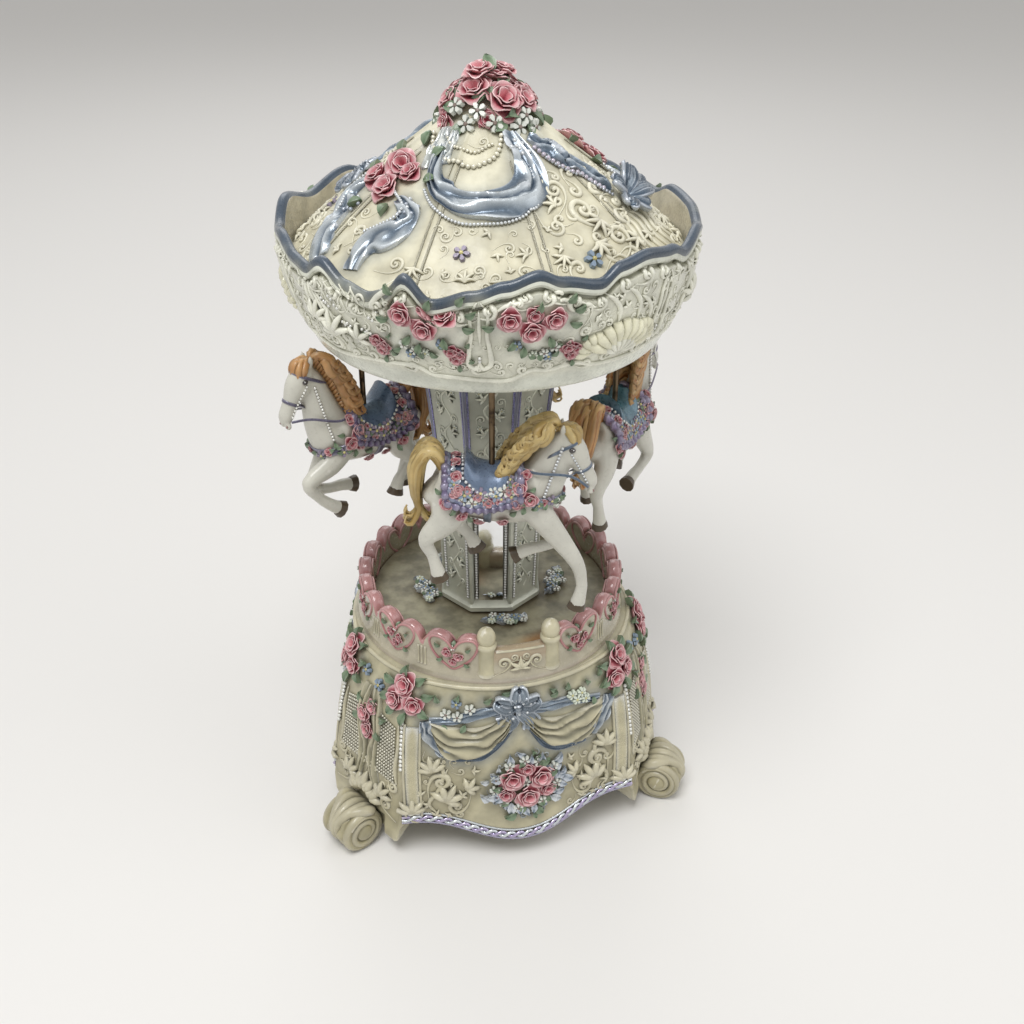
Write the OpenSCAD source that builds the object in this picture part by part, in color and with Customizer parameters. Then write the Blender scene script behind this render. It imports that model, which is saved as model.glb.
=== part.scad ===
// Wind up music box: a carousel on a three sided cast base.
// Millimetres, +Z up. The origin is on the spindle's axis at the table, and -Y is the gate side.

/* [Base] */
// Height of the stage floor above the table
stage_z = 78; // [74:0.5:84]
// Thickness of the stage floor
stage_t = 4; // [3:0.5:6]
// Height of the shoulder that carries the parapet
shoulder_z = 72; // [68:0.5:74]
// How far that shoulder stands out beyond the parapet
shoulder_out = 2.2; // [1.4:0.2:4]
// Distance from the axis to the ends of each face, at the bottom
face_r = 47; // [45:0.5:50]
// How far the middle of each face bows out beyond that
face_bow = 8; // [4:0.5:10]
// Distance from the axis to each corner block's outer face
corner_r = 60.5; // [58:0.5:63]
// Height of the apron's lowest point, at the middle of a face
apron_z = 8; // [6.5:0.5:10]
// How far the apron's edge rises from there to the corner blocks
apron_rise = 7.5; // [3:0.5:9]
// Height of the corner blocks' lower edge
block_z = 5.5; // [4.5:0.5:7]
// Radius of the cavity that holds the movement
cavity_r = 38.5; // [38.5:0.25:40]
// Thickness of the casting's wall round the movement's cavity
cavity_wall = 3; // [2.5:0.25:4]

/* [Feet] */
// How far the middle of each scroll foot stands out from its corner block
foot_out = 6; // [5:0.5:7]
// Diameter of the scroll
foot_d = 16.5; // [15:0.5:18]
// Width of the scroll
foot_w = 15; // [13:0.5:17]

/* [Parapet] */
// Thickness of the parapet's wall
parapet_t = 4.2; // [3.4:0.2:5]
// Height of the wall between the lobes
parapet_z = 84.5; // [83:0.5:87]
// Number of heart panels round the ring, with the gate as one of them
parapet_units = 13; // [11:1:15]
// Radius of each lobe
lobe_r = 4.8; // [4:0.1:5]
// Diameter of the two gate posts
post_d = 6.8; // [6:0.2:7.4]
// Height of the gate posts' shafts
post_z = 88.5; // [86:0.5:90]

/* [Bottom plate] */
// Underside of the bottom plate
plate_z = 20; // [18:0.5:22]
// Thickness of the bottom plate
plate_t = 2.6; // [2:0.2:4]
// How far the bottom plate laps the casting round the cavity
plate_lap = 3.5; // [3:0.25:3.75]

/* [Movement] */
// Thickness of the bedplate
bed_t = 2.4; // [1.8:0.2:3]
// Outer radius of the spring barrel
barrel_r = 13; // [12.6:0.1:13]
// Height of the spring barrel
barrel_h = 12; // [10:0.5:13]
// Module of the crown gear and its pinion
crown_m = 0.5; // [0.48:0.01:0.5]
// Teeth on the crown gear
crown_teeth = 48; // [44:2:48]
// Teeth on the cylinder's pinion
pinion_teeth = 12; // [10:1:12]
// Radius of the pinned cylinder
drum_r = 5.5; // [5:0.1:5.6]
// Length of the pinned cylinder
drum_len = 15; // [13:0.5:15]
// Height of the cylinder's pins
pin_h = 0.6; // [0.4:0.1:0.7]
// Notes on the comb
notes = 18; // [12:1:20]
// Teeth on the cylinder's gear
great_teeth = 36; // [32:2:36]
// Teeth on the governor's pinion
small_teeth = 9; // [9:1:11]
// Module of that pair
train_m = 0.4; // [0.38:0.01:0.4]
// Diameter of the winding arbor
arbor_d = 4; // [3.6:0.1:4.4]
// Running clearance on a radius
run = 0.05; // [0.03:0.01:0.08]
// Clearance between pieces that are fixed together
seat = 0.1; // [0.05:0.05:0.2]

/* [Key] */
// Width across the key's wings
key_w = 22; // [18:0.5:26]
// Height of the key's wings
key_h = 12; // [10:0.5:13]
// Thickness of the wings
key_t = 1.8; // [1.4:0.1:2.4]

/* [Carousel] */
// Where the front pole stands, in degrees round the axis from +X
front_angle = -101.4; // [-180:0.1:180]
// Height of the column's top, where it meets the ceiling
column_top = 182; // [179:0.5:186]
// Width across the column's flats at the foot
column_foot = 32.5; // [30:0.5:35]
// Width across the flats below the capital
column_neck = 35; // [33:0.5:38]
// Width across the flats at the capital's top
column_head = 46; // [42:0.5:50]
// Diameter of the spindle
spindle_d = 3.2; // [2.8:0.1:3.6]
// Width of each mirror strip
mirror_w = 8; // [6:0.5:9]
// Height of each mirror strip
mirror_h = 44; // [36:1:50]
// Radius of the circle of poles
pole_circle = 40.8; // [39:0.2:42]
// Diameter of the poles
pole_d = 1.8; // [1.6:0.1:2.2]
// Height of the saddles' seats
seat_z = 150; // [149:0.5:152]

/* [Canopy] */
// Height of the canopy's lower edge
crown_low = 180; // [178:0.5:182]
// Outer radius of the lower edge
crown_low_r = 53.6; // [52.5:0.2:55]
// Mean height of the rim
crown_high = 213.2; // [210:0.2:216]
// Outer radius of the rim
crown_high_r = 63.2; // [61:0.2:65]
// Thickness of the canopy's wall
crown_t = 3.2; // [2.8:0.1:4]
// How far the rim waves up and down
rim_wave = 2.6; // [1:0.2:3.4]
// Waves round the rim
rim_waves = 12; // [10:1:14]
// Height of the roof's top, inside the bouquet
roof_top = 250; // [246:0.5:254]
// Thickness of the roof
roof_t = 2.4; // [2:0.2:3]
// Ribs on the roof
roof_ribs = 9; // [8:1:12]
// Thickness of the ceiling
ceiling_t = 3.2; // [2.6:0.2:4]

/* [Hidden] */

$fn = 48;
RESIN = [0.93, 0.91, 0.84];
BRASS = [0.72, 0.58, 0.32];
STEEL = [0.62, 0.64, 0.67];

parapet_r = cavity_r + cavity_wall + seat + parapet_t;
shoulder_r = parapet_r + shoulder_out;
plate_r = cavity_r + plate_lap;
foot_r = corner_r + foot_out;
foot_flat = 0.3;
foot_z = foot_d / 2 - foot_flat;
gate_half = 180 / parapet_units + 0.2;
post_foot = shoulder_z + 2.4;
plate_screw_d = 2.2;

// Heights in the movement, from the bottom plate up
bed_z = plate_z + plate_t;
barrel_z = bed_z + bed_t + 1;
barrel_top = barrel_z + barrel_h;
crown_tooth_h = 2 * crown_m;
crown_pitch_r = crown_m * crown_teeth / 2;
pinion_r = crown_m * pinion_teeth / 2;
axle_z = barrel_top + crown_tooth_h / 2 + pinion_r + 0.15;
great_r = train_m * great_teeth / 2;
small_r = train_m * small_teeth / 2;
// Places along the cylinder's axle, from the barrel outwards
pinion_x = crown_pitch_r - 1.4;
pinion_len = 2.2;
bearing_x = barrel_r + 0.35;
bearing_t = 1;
drum_x = bearing_x + bearing_t + 0.6;
great_x = drum_x + drum_len + 0.3;
great_t = 1.4;
outer_x = great_x + great_t + 0.5;
axle_d = 1.6;
// The governor stands beside the cylinder's gear
gov_y = great_r + small_r + 0.12;
worm_wheel_teeth = 12;
worm_m = 0.4;
worm_wheel_r = worm_m * worm_wheel_teeth / 2;
worm_r = 1.3;
worm_x = great_x - 5;
worm_y = gov_y + worm_wheel_r + worm_r - 0.05;
// The comb's teeth end just short of the pins
comb_y = -(drum_r + pin_h + 0.15);
comb_tooth = 8.5;
comb_back = 5.5;
comb_t = 0.8;

bush_r = 5;
spindle_r = spindle_d / 2;
column_z = stage_z + 1.2;
ceiling_screw_d = 1.9;
hub_h = 12;
hub_r = 6.5;
mirror_z = column_z + 3;
neck_z = column_z + 42;
column_bore = 10.5;
ceiling_z = column_top;
ceiling_r = crown_low_r - 2.6;
bush_flange_r = 3;
crown_wave_angle = front_angle + 11;
// The ledge inside the canopy that the roof's foot stands on
ledge_z = crown_high - 8.8;
roof_r = crown_high_r - 4.8;
ledge_r = roof_r - 1.8;
rib_angle = front_angle - 23;

function mix(a, b, t) = a + (b - a) * t;
function polar(r, a) = [r * cos(a), r * sin(a)];
// Angle from the nearest face's middle; the faces look to -90, 30 and 150 degrees
function off_face(a) = ((a + 90 + 60 + 720) % 120) - 60;
// Angle from a face's middle to the corner block's edge
block_edge = 42;

// ---- Solids swept through rings of equal size ----

// Closes a stack of rings, lowest first and each counter-clockwise seen from above
module stack(rings) {
    n = len(rings[0]);
    m = len(rings);
    polyhedron(
        [for (r = rings) each r],
        concat(
            [[for (j = [0:n - 1]) j]],
            [for (i = [0:m - 2], j = [0:n - 1], half = [0, 1])
                let (a = i * n + j, b = a + n, c = (i + 1) * n + (j + 1) % n, d = c - n)
                half == 0 ? [a, b, c] : [a, c, d]],
            [[for (j = [n - 1:-1:0]) (m - 1) * n + j]]),
        convexity = 6);
}

// A closed band: every section is a profile [r, z] at one angle
module band(sections) {
    m = len(sections);
    n = len(sections[0]);
    polyhedron(
        [for (i = [0:m - 1], p = sections[i]) [p[0] * cos(360 * i / m), p[0] * sin(360 * i / m), p[1]]],
        [for (i = [0:m - 1], j = [0:n - 1], half = [0, 1])
            let (e = (i + 1) % m, f = (j + 1) % n, a = i * n + j, b = i * n + f, c = e * n + f,
                 d = e * n + j)
            half == 0 ? [a, b, c] : [a, c, d]],
        convexity = 6);
}

// Catmull-Rom point between the second and third of four
function spline(p, i, t) =
    let (a = p[max(i - 1, 0)], b = p[i], c = p[i + 1], d = p[min(i + 2, len(p) - 1)])
    0.5 * (2 * b + (c - a) * t + (2 * a - 5 * b + 4 * c - d) * t * t
        + (3 * b - a - 3 * c + d) * t * t * t);
function smooth(p, steps) =
    [for (i = [0:len(p) - 2], s = [0:steps - 1]) spline(p, i, s / steps), p[len(p) - 1]];

// A limb in the horse's own plane: points are [x, y, z, half width, half depth]
module limb(points, steps = 2, sides = 10) {
    p = smooth(points, steps);
    last = len(p) - 1;
    stack([for (i = [0:last])
        let (a = p[max(i - 1, 0)], b = p[min(i + 1, last)], t = atan2(b[2] - a[2], b[0] - a[0]))
        [for (j = [0:sides - 1])
            let (u = 360 * j / sides, c = p[i], rise = c[4] * cos(u))
            [c[0] - rise * sin(t), c[1] - c[3] * sin(u), c[2] + rise * cos(t)]]]);
}

// ---- Base ----

// The apron's edge rises from the middle of a face, then steps down to the corner block
function edge_z(a) =
    let (off = abs(off_face(a)))
    off > block_edge ? block_z : apron_z + apron_rise * pow(sin(off * 90 / block_edge), 2);
function outline_r(a) =
    min(face_r / cos(off_face(a)), corner_r / cos(60 - abs(off_face(a))));
function base_r(a, z) =
    let (s = sqrt(max(0, min(1, (shoulder_z - z) / (shoulder_z - apron_z)))),
         bow = face_bow * pow(max(0, cos(off_face(a) * 2.1)), 2))
    mix(shoulder_r, outline_r(a) + bow * s, s);

module base_casting() {
    levels = [0, 0.1, 0.25, 0.42, 0.6, 0.76, 0.88, 0.95, 0.985, 1];
    color(RESIN) difference() {
        union() {
            stack(concat(
                [[for (a = [0:5:355]) concat(polar(plate_r - 2, a), apron_z + apron_rise)]],
                [for (t = levels)
                    [for (a = [0:5:355])
                        let (z = mix(edge_z(a), shoulder_z, t))
                        concat(polar(base_r(a, z), a), z)]]));
            translate([0, 0, shoulder_z - 1])
                cylinder(h = stage_z - shoulder_z + 1, r = cavity_r + cavity_wall);
        }
        translate([0, 0, plate_z]) cylinder(h = stage_z - stage_t - plate_z, r = cavity_r);
        translate([0, 0, -1]) cylinder(h = plate_z + plate_t + 1, r = plate_r + seat);
        translate([0, 0, stage_z - stage_t - 1]) cylinder(h = stage_t + 2, r = bush_r);
        translate([0, 0, stage_z - 1]) cylinder(h = 2, r = bush_r + 2);
        plate_screw_places() translate([0, 0, plate_z + plate_t - 1])
            cylinder(h = 10, r = plate_screw_d / 2 + seat / 2);
        post_places() translate([0, 0, post_foot]) cylinder(h = 20, r = post_d / 2 + seat / 2);
        foot_places() {
            foot_tongue(seat);
            translate([foot_r, 0, foot_z]) rotate([90, 0, 0])
                cylinder(h = foot_w + 2 * seat + 1.2, r = foot_d / 2 + seat, center = true);
        }
    }
}

module parapet() {
    inner = parapet_r - parapet_t;
    unit = 360 / parapet_units;
    color([0.90, 0.74, 0.76]) difference() {
        union() {
            rotate_extrude() polygon([
                [inner, shoulder_z], [parapet_r + 1.2, shoulder_z], [parapet_r + 1.2, shoulder_z + 2.4],
                [parapet_r + 0.3, shoulder_z + 3.4], [parapet_r, parapet_z], [inner, parapet_z]]);
            for (k = [1:parapet_units - 1], side = [-1, 1])
                rotate([0, 0, -90 + k * unit + side * unit / 4])
                    translate([inner + 0.2, 0, parapet_z]) rotate([0, 90, 0])
                        cylinder(h = parapet_t, r = lobe_r, $fn = 32);
        }
        // At the gate the wall has no lobes, and runs plain between the posts
        post_places() translate([0, 0, post_foot]) cylinder(h = 20, r = post_d / 2 + seat / 2);
    }
}

module post_places() {
    for (side = [-1, 1]) rotate([0, 0, side * gate_half - 90])
        translate([parapet_r - post_d / 2, 0, 0]) children();
}

module gate_posts() {
    color(RESIN) post_places() rotate_extrude() polygon([
            [0, post_foot], [post_d / 2, post_foot], [post_d / 2, post_z - 1],
            [post_d / 2 - 0.8, post_z - 0.6], [post_d / 2 - 0.6, post_z + 0.4],
            [post_d / 2 - 0.3, post_z + 1.6],
            [post_d / 2 - 1.2, post_z + 3], [0.9, post_z + 3.8], [0, post_z + 4]]);
}

module foot_places() {
    for (a = [90, 210, 330]) rotate([0, 0, a]) children();
}

// The block by which a foot is let into its corner
module foot_tongue(gap) {
    length = foot_d / 2 + 5;
    translate([foot_r - length - gap, -4 - gap, foot_z - gap]) cube([length, 8 + 2 * gap, 6 + 2 * gap]);
}

module scroll_feet() {
    r = foot_d / 2;
    color(RESIN) foot_places() difference() {
        union() {
            translate([foot_r, 0, foot_z]) rotate([90, 0, 0]) rotate_extrude() polygon(concat(
                [[0, -foot_w / 2 - 0.6], [r * 0.3, -foot_w / 2 - 0.6], [r * 0.38, -foot_w / 2],
                 [r * 0.5, -foot_w / 2 + 0.6], [r * 0.62, -foot_w / 2]],
                [for (a = [-75:25:75]) [r * 0.74 + r * 0.26 * cos(a), (foot_w / 2 - 0.2) * sin(a)]],
                [[r * 0.62, foot_w / 2], [r * 0.5, foot_w / 2 - 0.6], [r * 0.38, foot_w / 2],
                 [r * 0.3, foot_w / 2 + 0.6], [0, foot_w / 2 + 0.6]]));
            foot_tongue(0);
        }
        // Cut flat where it stands
        translate([foot_r, 0, -5]) cube([foot_d, 2 * foot_w, 10], center = true);
    }
}

module plate_screw_places() {
    for (a = [30, 150, 270]) rotate([0, 0, a]) translate([plate_r - plate_screw_d, 0, 0]) children();
}

module bottom_plate() {
    color([0.16, 0.15, 0.14]) difference() {
        translate([0, 0, plate_z]) cylinder(h = plate_t, r = plate_r);
        translate([0, 0, plate_z - 1]) cylinder(h = plate_t + 2, r = arbor_d / 2 + 1.5);
        plate_screw_places() translate([0, 0, plate_z - 1]) cylinder(h = plate_t + 2, r = 1.4);
        bed_screw_places() translate([0, 0, plate_z - 1]) cylinder(h = plate_t + 2, r = 1.4);
        for (a = [0:60:300]) rotate([0, 0, a]) translate([12, 0, plate_z - 1])
            cylinder(h = plate_t + 2, r = 1.6);
    }
}

module pan_screw(d, length) {
    rotate_extrude() polygon([
        [0, -d * 0.55], [d * 0.55, -d * 0.55], [d * 0.95, -d * 0.25], [d, 0], [d / 2, 0],
        [d / 2, length - d / 2], [0, length]]);
}

module bottom_plate_screws() {
    color(STEEL) plate_screw_places() translate([0, 0, plate_z]) pan_screw(plate_screw_d, 10);
}

module floor_bush() {
    color(BRASS) difference() {
        union() {
            translate([0, 0, stage_z - stage_t]) cylinder(h = stage_t, r = bush_r);
            translate([0, 0, stage_z - 1]) cylinder(h = 1.5, r = bush_r + 2);
        }
        translate([0, 0, stage_z - stage_t - 1]) cylinder(h = stage_t + 3, r = spindle_r + run);
    }
}

module thrust_washer() {
    color([0.92, 0.92, 0.90]) difference() {
        translate([0, 0, stage_z + 0.5]) cylinder(h = 0.6, r = bush_r + 1.4);
        translate([0, 0, stage_z]) cylinder(h = 2, r = spindle_r + 0.2);
    }
}

// ---- Movement ----

bed_x0 = -14;
bed_x1 = 35;
bed_y0 = -21;
bed_y1 = 14;

module bed_screw_places() {
    for (p = [[-10, 12.5], [-10, -12.5], [bed_x1 - 6, 10.5]]) translate([p[0], p[1], 0]) children();
}

module bedplate() {
    block_z = axle_z - comb_t;
    color([0.75, 0.76, 0.76]) difference() {
        union() {
            intersection() {
                translate([bed_x0, bed_y0, bed_z]) cube([bed_x1 - bed_x0, bed_y1 - bed_y0, bed_t]);
                translate([0, 0, bed_z]) cylinder(h = bed_t, r = cavity_r - 0.6);
            }
            // The block that carries the comb
            translate([drum_x, comb_y - comb_tooth - comb_back + 0.3, bed_z + bed_t - 0.5])
                cube([drum_len, comb_back - 0.3, block_z - bed_z - bed_t + 0.5]);
        }
        translate([0, 0, bed_z - 1]) cylinder(h = bed_t + 2, r = arbor_d / 2 + run);
        bed_screw_places() translate([0, 0, bed_z - 1]) cylinder(h = bed_t + 2, r = 1.2);
        comb_screw_places() translate([0, 0, block_z - 6]) cylinder(h = 7, r = 0.9);
    }
}

module bedplate_screws() {
    color(STEEL) bed_screw_places() translate([0, 0, plate_z]) pan_screw(2.4, plate_t + bed_t);
}

module comb_screw_places() {
    for (s = [0.25, 0.75])
        translate([drum_x + drum_len * s, comb_y - comb_tooth - comb_back / 2, 0]) children();
}

module comb() {
    pitch = drum_len / notes;
    color(STEEL) difference() {
        translate([drum_x, comb_y - comb_tooth - comb_back, axle_z - comb_t])
            cube([drum_len, comb_tooth + comb_back, comb_t]);
        // The cuts deepen towards the bass end, so the long teeth sound lower
        for (k = [1:notes - 1])
            translate([drum_x + k * pitch - 0.13, comb_y - comb_tooth + k * 0.18, axle_z - 2])
                cube([0.26, comb_tooth + 1, 4]);
        comb_screw_places() translate([0, 0, axle_z - 2]) cylinder(h = 4, r = 1);
    }
}

module comb_screws() {
    color(STEEL) comb_screw_places() translate([0, 0, axle_z]) mirror([0, 0, 1])
        pan_screw(1.8, 5);
}

// A post with a bearing hole, standing on the bedplate
module bearing_post(x, y, z, thick, wide) {
    difference() {
        union() {
            translate([x, y - wide / 2, bed_z + bed_t]) cube([thick, wide, z - bed_z - bed_t]);
            translate([x, y, z]) rotate([0, 90, 0]) cylinder(h = thick, r = wide / 2);
        }
        translate([x - 1, y, z]) rotate([0, 90, 0]) cylinder(h = thick + 2, r = axle_d / 2 + run);
    }
}

module cylinder_bearings() {
    color(BRASS) {
        bearing_post(bearing_x, 0, axle_z, bearing_t, 6);
        bearing_post(outer_x, 0, axle_z, bearing_t, 6);
    }
}

module governor_frame() {
    color(BRASS) {
        bearing_post(worm_x - 2.6, gov_y, axle_z, 1, 4);
        bearing_post(outer_x, gov_y, axle_z, bearing_t, 4);
        // The foot and arm that hold the worm's two pivots
        difference() {
            union() {
                translate([worm_x - 2, worm_y + 2.4, bed_z + bed_t])
                    cube([4, 1.4, axle_z + 6.4 - bed_z - bed_t]);
                for (z = [axle_z - 8, axle_z + 5]) translate([worm_x - 2, worm_y - 1, z]) cube([4, 4, 1.4]);
            }
            translate([worm_x, worm_y, axle_z - 9]) cylinder(h = 18, r = 0.5 + run);
        }
    }
}

// A spur gear with plain tapered teeth, its axle along Z
module spur(m, teeth, h, thin = 0.72) {
    r = m * teeth / 2;
    root = r - 1.15 * m;
    half = 90 / teeth * thin;
    linear_extrude(h) {
        circle(r = root);
        for (k = [0:teeth - 1]) rotate(360 * k / teeth) polygon([
            polar(root - 0.3 * m, -half * 1.3), polar(r, -half), polar(r + 0.8 * m, -half * 0.45),
            polar(r + 0.8 * m, half * 0.45), polar(r, half), polar(root - 0.3 * m, half * 1.3)]);
    }
}

module along_x(x, y, z) {
    translate([x, y, z]) rotate([0, 90, 0]) children();
}

module winding_arbor() {
    color(STEEL) {
        translate([0, 0, plate_z - 7]) cylinder(h = barrel_z + 9 - plate_z + 7, r = arbor_d / 2);
        translate([0, 0, bed_z + bed_t + 0.1]) cylinder(h = 0.7, r = arbor_d / 2 + 1.5);
    }
}

module winding_key() {
    socket_z = plate_z - 7;
    color(BRASS) difference() {
        union() {
            translate([0, 0, 7]) cylinder(h = plate_z - 0.6 - 7, r = arbor_d / 2 + 1.2);
            // The two wings, cut from one plate
            translate([0, key_t / 2, 1.2 + key_h / 2]) rotate([90, 0, 0]) linear_extrude(key_t) hull()
                for (s = [-1, 1]) translate([s * (key_w - key_h) / 2, 0]) circle(d = key_h);
        }
        translate([0, 0, socket_z]) cylinder(h = 20, r = arbor_d / 2 + seat / 2);
        for (s = [-1, 1]) translate([s * key_w * 0.3, 5, 1.2 + key_h / 2]) rotate([90, 0, 0])
            cylinder(h = 10, r = 2.4);
    }
}

module spring_barrel() {
    color(BRASS) difference() {
        translate([0, 0, barrel_z]) cylinder(h = barrel_h - 0.8, r = barrel_r);
        translate([0, 0, barrel_z + 1]) cylinder(h = barrel_h, r = barrel_r - 1);
        translate([0, 0, barrel_z - 1]) cylinder(h = 3, r = arbor_d / 2 + run);
    }
}

module mainspring() {
    turns = 8;
    r0 = arbor_d / 2 + 1;
    r1 = barrel_r - 1.5;
    steps = turns * 16;
    function coil(i, w) = let (t = i / steps) polar(mix(r0, r1, t) + w, 360 * turns * t);
    color([0.35, 0.38, 0.45]) translate([0, 0, barrel_z + 1.3])
        linear_extrude(barrel_h - 3) polygon(concat(
        [for (i = [0:steps]) coil(i, 0)], [for (i = [steps:-1:0]) coil(i, 0.35)]));
}

module crown_gear() {
    color(BRASS) difference() {
        union() {
            translate([0, 0, barrel_top - 0.8]) cylinder(h = 0.8, r = barrel_r);
            translate([0, 0, barrel_top - 0.8]) cylinder(h = 4, r = 4);
            for (k = [0:crown_teeth - 1]) rotate([0, 0, 360 * k / crown_teeth])
                translate([crown_pitch_r - 1.6, 0, barrel_top - 0.1]) rotate([90, 0, 90])
                    linear_extrude(2.5)
                        polygon([[-0.42, 0], [-0.16, crown_tooth_h], [0.16, crown_tooth_h], [0.42, 0]]);
        }
        translate([0, 0, barrel_top - 2]) cylinder(h = 8, r = spindle_r + seat / 2);
    }
}

module cylinder_arbor() {
    color(STEEL) along_x(pinion_x - 0.6, 0, axle_z)
        cylinder(h = outer_x + bearing_t + 0.4 - pinion_x + 0.6, r = axle_d / 2);
}

module bored(r, h) {
    difference() {
        children();
        translate([0, 0, -1]) cylinder(h = h + 2, r = r + seat / 4);
    }
}

module cylinder_pinion() {
    color(BRASS) along_x(pinion_x, 0, axle_z) bored(axle_d / 2, pinion_len)
        rotate(180 / pinion_teeth) spur(crown_m, pinion_teeth, pinion_len, 0.6);
}

module pinned_cylinder() {
    pitch = drum_len / notes;
    color([0.83, 0.75, 0.50]) along_x(drum_x, 0, axle_z) bored(axle_d / 2, drum_len) union() {
        cylinder(h = drum_len, r = drum_r);
        // The tune: two pins for each note
        for (k = [0:notes - 1], j = [0:1])
            translate([0, 0, (k + 0.5) * pitch]) rotate([0, 0, (k * 137 + j * 163) % 360])
                translate([drum_r - 0.2, 0, 0])
                rotate([0, 90, 0]) cylinder(h = pin_h + 0.2, r = 0.16, $fn = 16);
    }
}

module cylinder_gear() {
    color(BRASS) along_x(great_x, 0, axle_z) bored(axle_d / 2, great_t)
        spur(train_m, great_teeth, great_t);
}

module governor_wheel() {
    color(BRASS) {
        along_x(worm_x - 2.9, gov_y, axle_z)
            cylinder(h = outer_x + bearing_t + 0.3 - worm_x + 2.9, r = axle_d / 2);
        along_x(great_x, gov_y, axle_z) rotate(270 + 180 / small_teeth)
            spur(train_m, small_teeth, great_t);
        along_x(worm_x - 0.6, gov_y, axle_z) spur(worm_m, worm_wheel_teeth, 1.2, 0.6);
    }
}

module governor_worm() {
    lead = PI * worm_m;
    turns = 5;
    steps = 12;
    color(STEEL) translate([worm_x, worm_y, axle_z]) {
        translate([0, 0, -8.4]) cylinder(h = 20, r = 0.5);
        translate([0, 0, -3.6]) cylinder(h = 7.2, r = worm_r - 0.55);
        // The thread, swept from one small section
        stack([for (i = [0:turns * steps])
            let (a = 360 * i / steps, z = lead * (i / steps - turns / 2 + 0.25))
            [for (p = [[worm_r - 0.7, 0.36], [worm_r - 0.05, 0.14], [worm_r - 0.05, -0.14],
                       [worm_r - 0.7, -0.36]])
                [p[0] * cos(a), p[0] * sin(a), z + p[1]]]]);
    }
}

module governor_fly() {
    color([0.85, 0.85, 0.82]) translate([worm_x, worm_y, axle_z + 7.2]) difference() {
        union() {
            cylinder(h = 4, r = 1.1);
            translate([-3.6, -0.3, 0.4]) cube([7.2, 0.6, 3.2]);
        }
        translate([0, 0, -1]) cylinder(h = 6, r = 0.5 + seat / 4);
    }
}

// ---- Column ----

module drive_spindle() {
    foot = barrel_top - 0.6;
    color(STEEL) translate([0, 0, foot]) cylinder(h = ceiling_z + ceiling_t + 6 - foot, r = spindle_r);
}

module column_hub() {
    color(BRASS) difference() {
        union() {
            translate([0, 0, column_z]) cylinder(h = hub_h, r = hub_r);
            translate([0, 0, column_z - 0.05]) cylinder(h = 1, r = hub_r);
        }
        translate([0, 0, column_z - 1]) cylinder(h = hub_h + 2, r = spindle_r + seat / 4);
    }
}

// The column's half width at its corners, from its foot up through the flaring capital
function column_line() =
    let (corner = 1 / (2 * cos(22.5)), plinth = 0.8, spread = column_head - column_neck)
    concat(
        [[column_foot * corner + plinth, column_z], [column_foot * corner + plinth, column_z + 2 * plinth],
         [column_foot * corner, column_z + 3 * plinth]],
        [for (t = [0, 0.3, 0.55, 0.8, 1])
            [(column_neck + spread * pow(t, 1.6)) * corner, mix(neck_z, column_top - 1.5, t)]],
        [[column_head * corner, column_top]]);

module centre_column() {
    color(RESIN) difference() {
        rotate([0, 0, front_angle + 22.5]) rotate_extrude($fn = 8)
            polygon(concat([[0, column_z]], column_line(), [[0, column_top]]));
        translate([0, 0, column_z - 1]) cylinder(h = hub_h + 1, r = hub_r + seat / 2);
        translate([0, 0, column_z]) cylinder(h = column_top, r = spindle_r + 0.4);
        // The casting is hollow between the hub and the ceiling
        translate([0, 0, column_z + hub_h + 2])
            cylinder(h = column_top - column_z - hub_h - 10, r = column_bore);
        mirror_places() translate([0, 0, (mirror_h + 1) / 2])
            cube([2.4, mirror_w + 3, mirror_h + 1], center = true);
        ceiling_screw_places() translate([0, 0, column_top - 7.5]) cylinder(h = 9, r = ceiling_screw_d / 2);
    }
}

// The strips lean with the column's taper, on every second flat
module mirror_places() {
    lean = atan2((column_neck - column_foot) / 2, neck_z - column_z - 2.4);
    for (k = [0:3]) rotate([0, 0, front_angle + 90 * k])
        translate([column_foot / 2, 0, mirror_z]) rotate([0, lean, 0]) children();
}

module mirror_strips() {
    // The strip's outer face slopes away over its lowest few millimetres
    bevel = 3;
    thick = 1.1;
    color([0.85, 0.88, 0.92]) mirror_places() translate([-thick - 0.05, mirror_w / 2, 0.5])
        rotate([90, 0, 0]) linear_extrude(mirror_w)
            polygon([[0, 0], [thick / 2, 0], [thick, bevel], [thick, mirror_h], [0, mirror_h]]);
}

// ---- Canopy ----

function crown_r(z) =
    let (t = (z - crown_low) / (crown_high - crown_low))
    mix(crown_low_r, crown_high_r, 1 - pow(1 - min(t, 1), 1.7));

module pole_places() {
    for (k = [0:3]) rotate([0, 0, front_angle + 90 * k]) translate([pole_circle, 0, 0]) children();
}

module ceiling_screw_places() {
    for (k = [0:3]) rotate([0, 0, front_angle + 45 + 90 * k]) translate([15, 0, 0]) children();
}

module canopy_ceiling() {
    color(RESIN) difference() {
        translate([0, 0, ceiling_z]) cylinder(h = ceiling_t, r = ceiling_r);
        translate([0, 0, ceiling_z - 1]) cylinder(h = ceiling_t + 2, r = spindle_r + seat);
        pole_places() translate([0, 0, ceiling_z - 1]) cylinder(h = ceiling_t + 2, r = pole_d / 2 + 1);
        ceiling_screw_places() translate([0, 0, ceiling_z - 1]) cylinder(h = ceiling_t + 2, r = 1.3);
    }
}

module ceiling_screws() {
    color(STEEL) ceiling_screw_places() translate([0, 0, ceiling_z + ceiling_t]) mirror([0, 0, 1])
        pan_screw(ceiling_screw_d, ceiling_t + 6.5);
}

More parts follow.
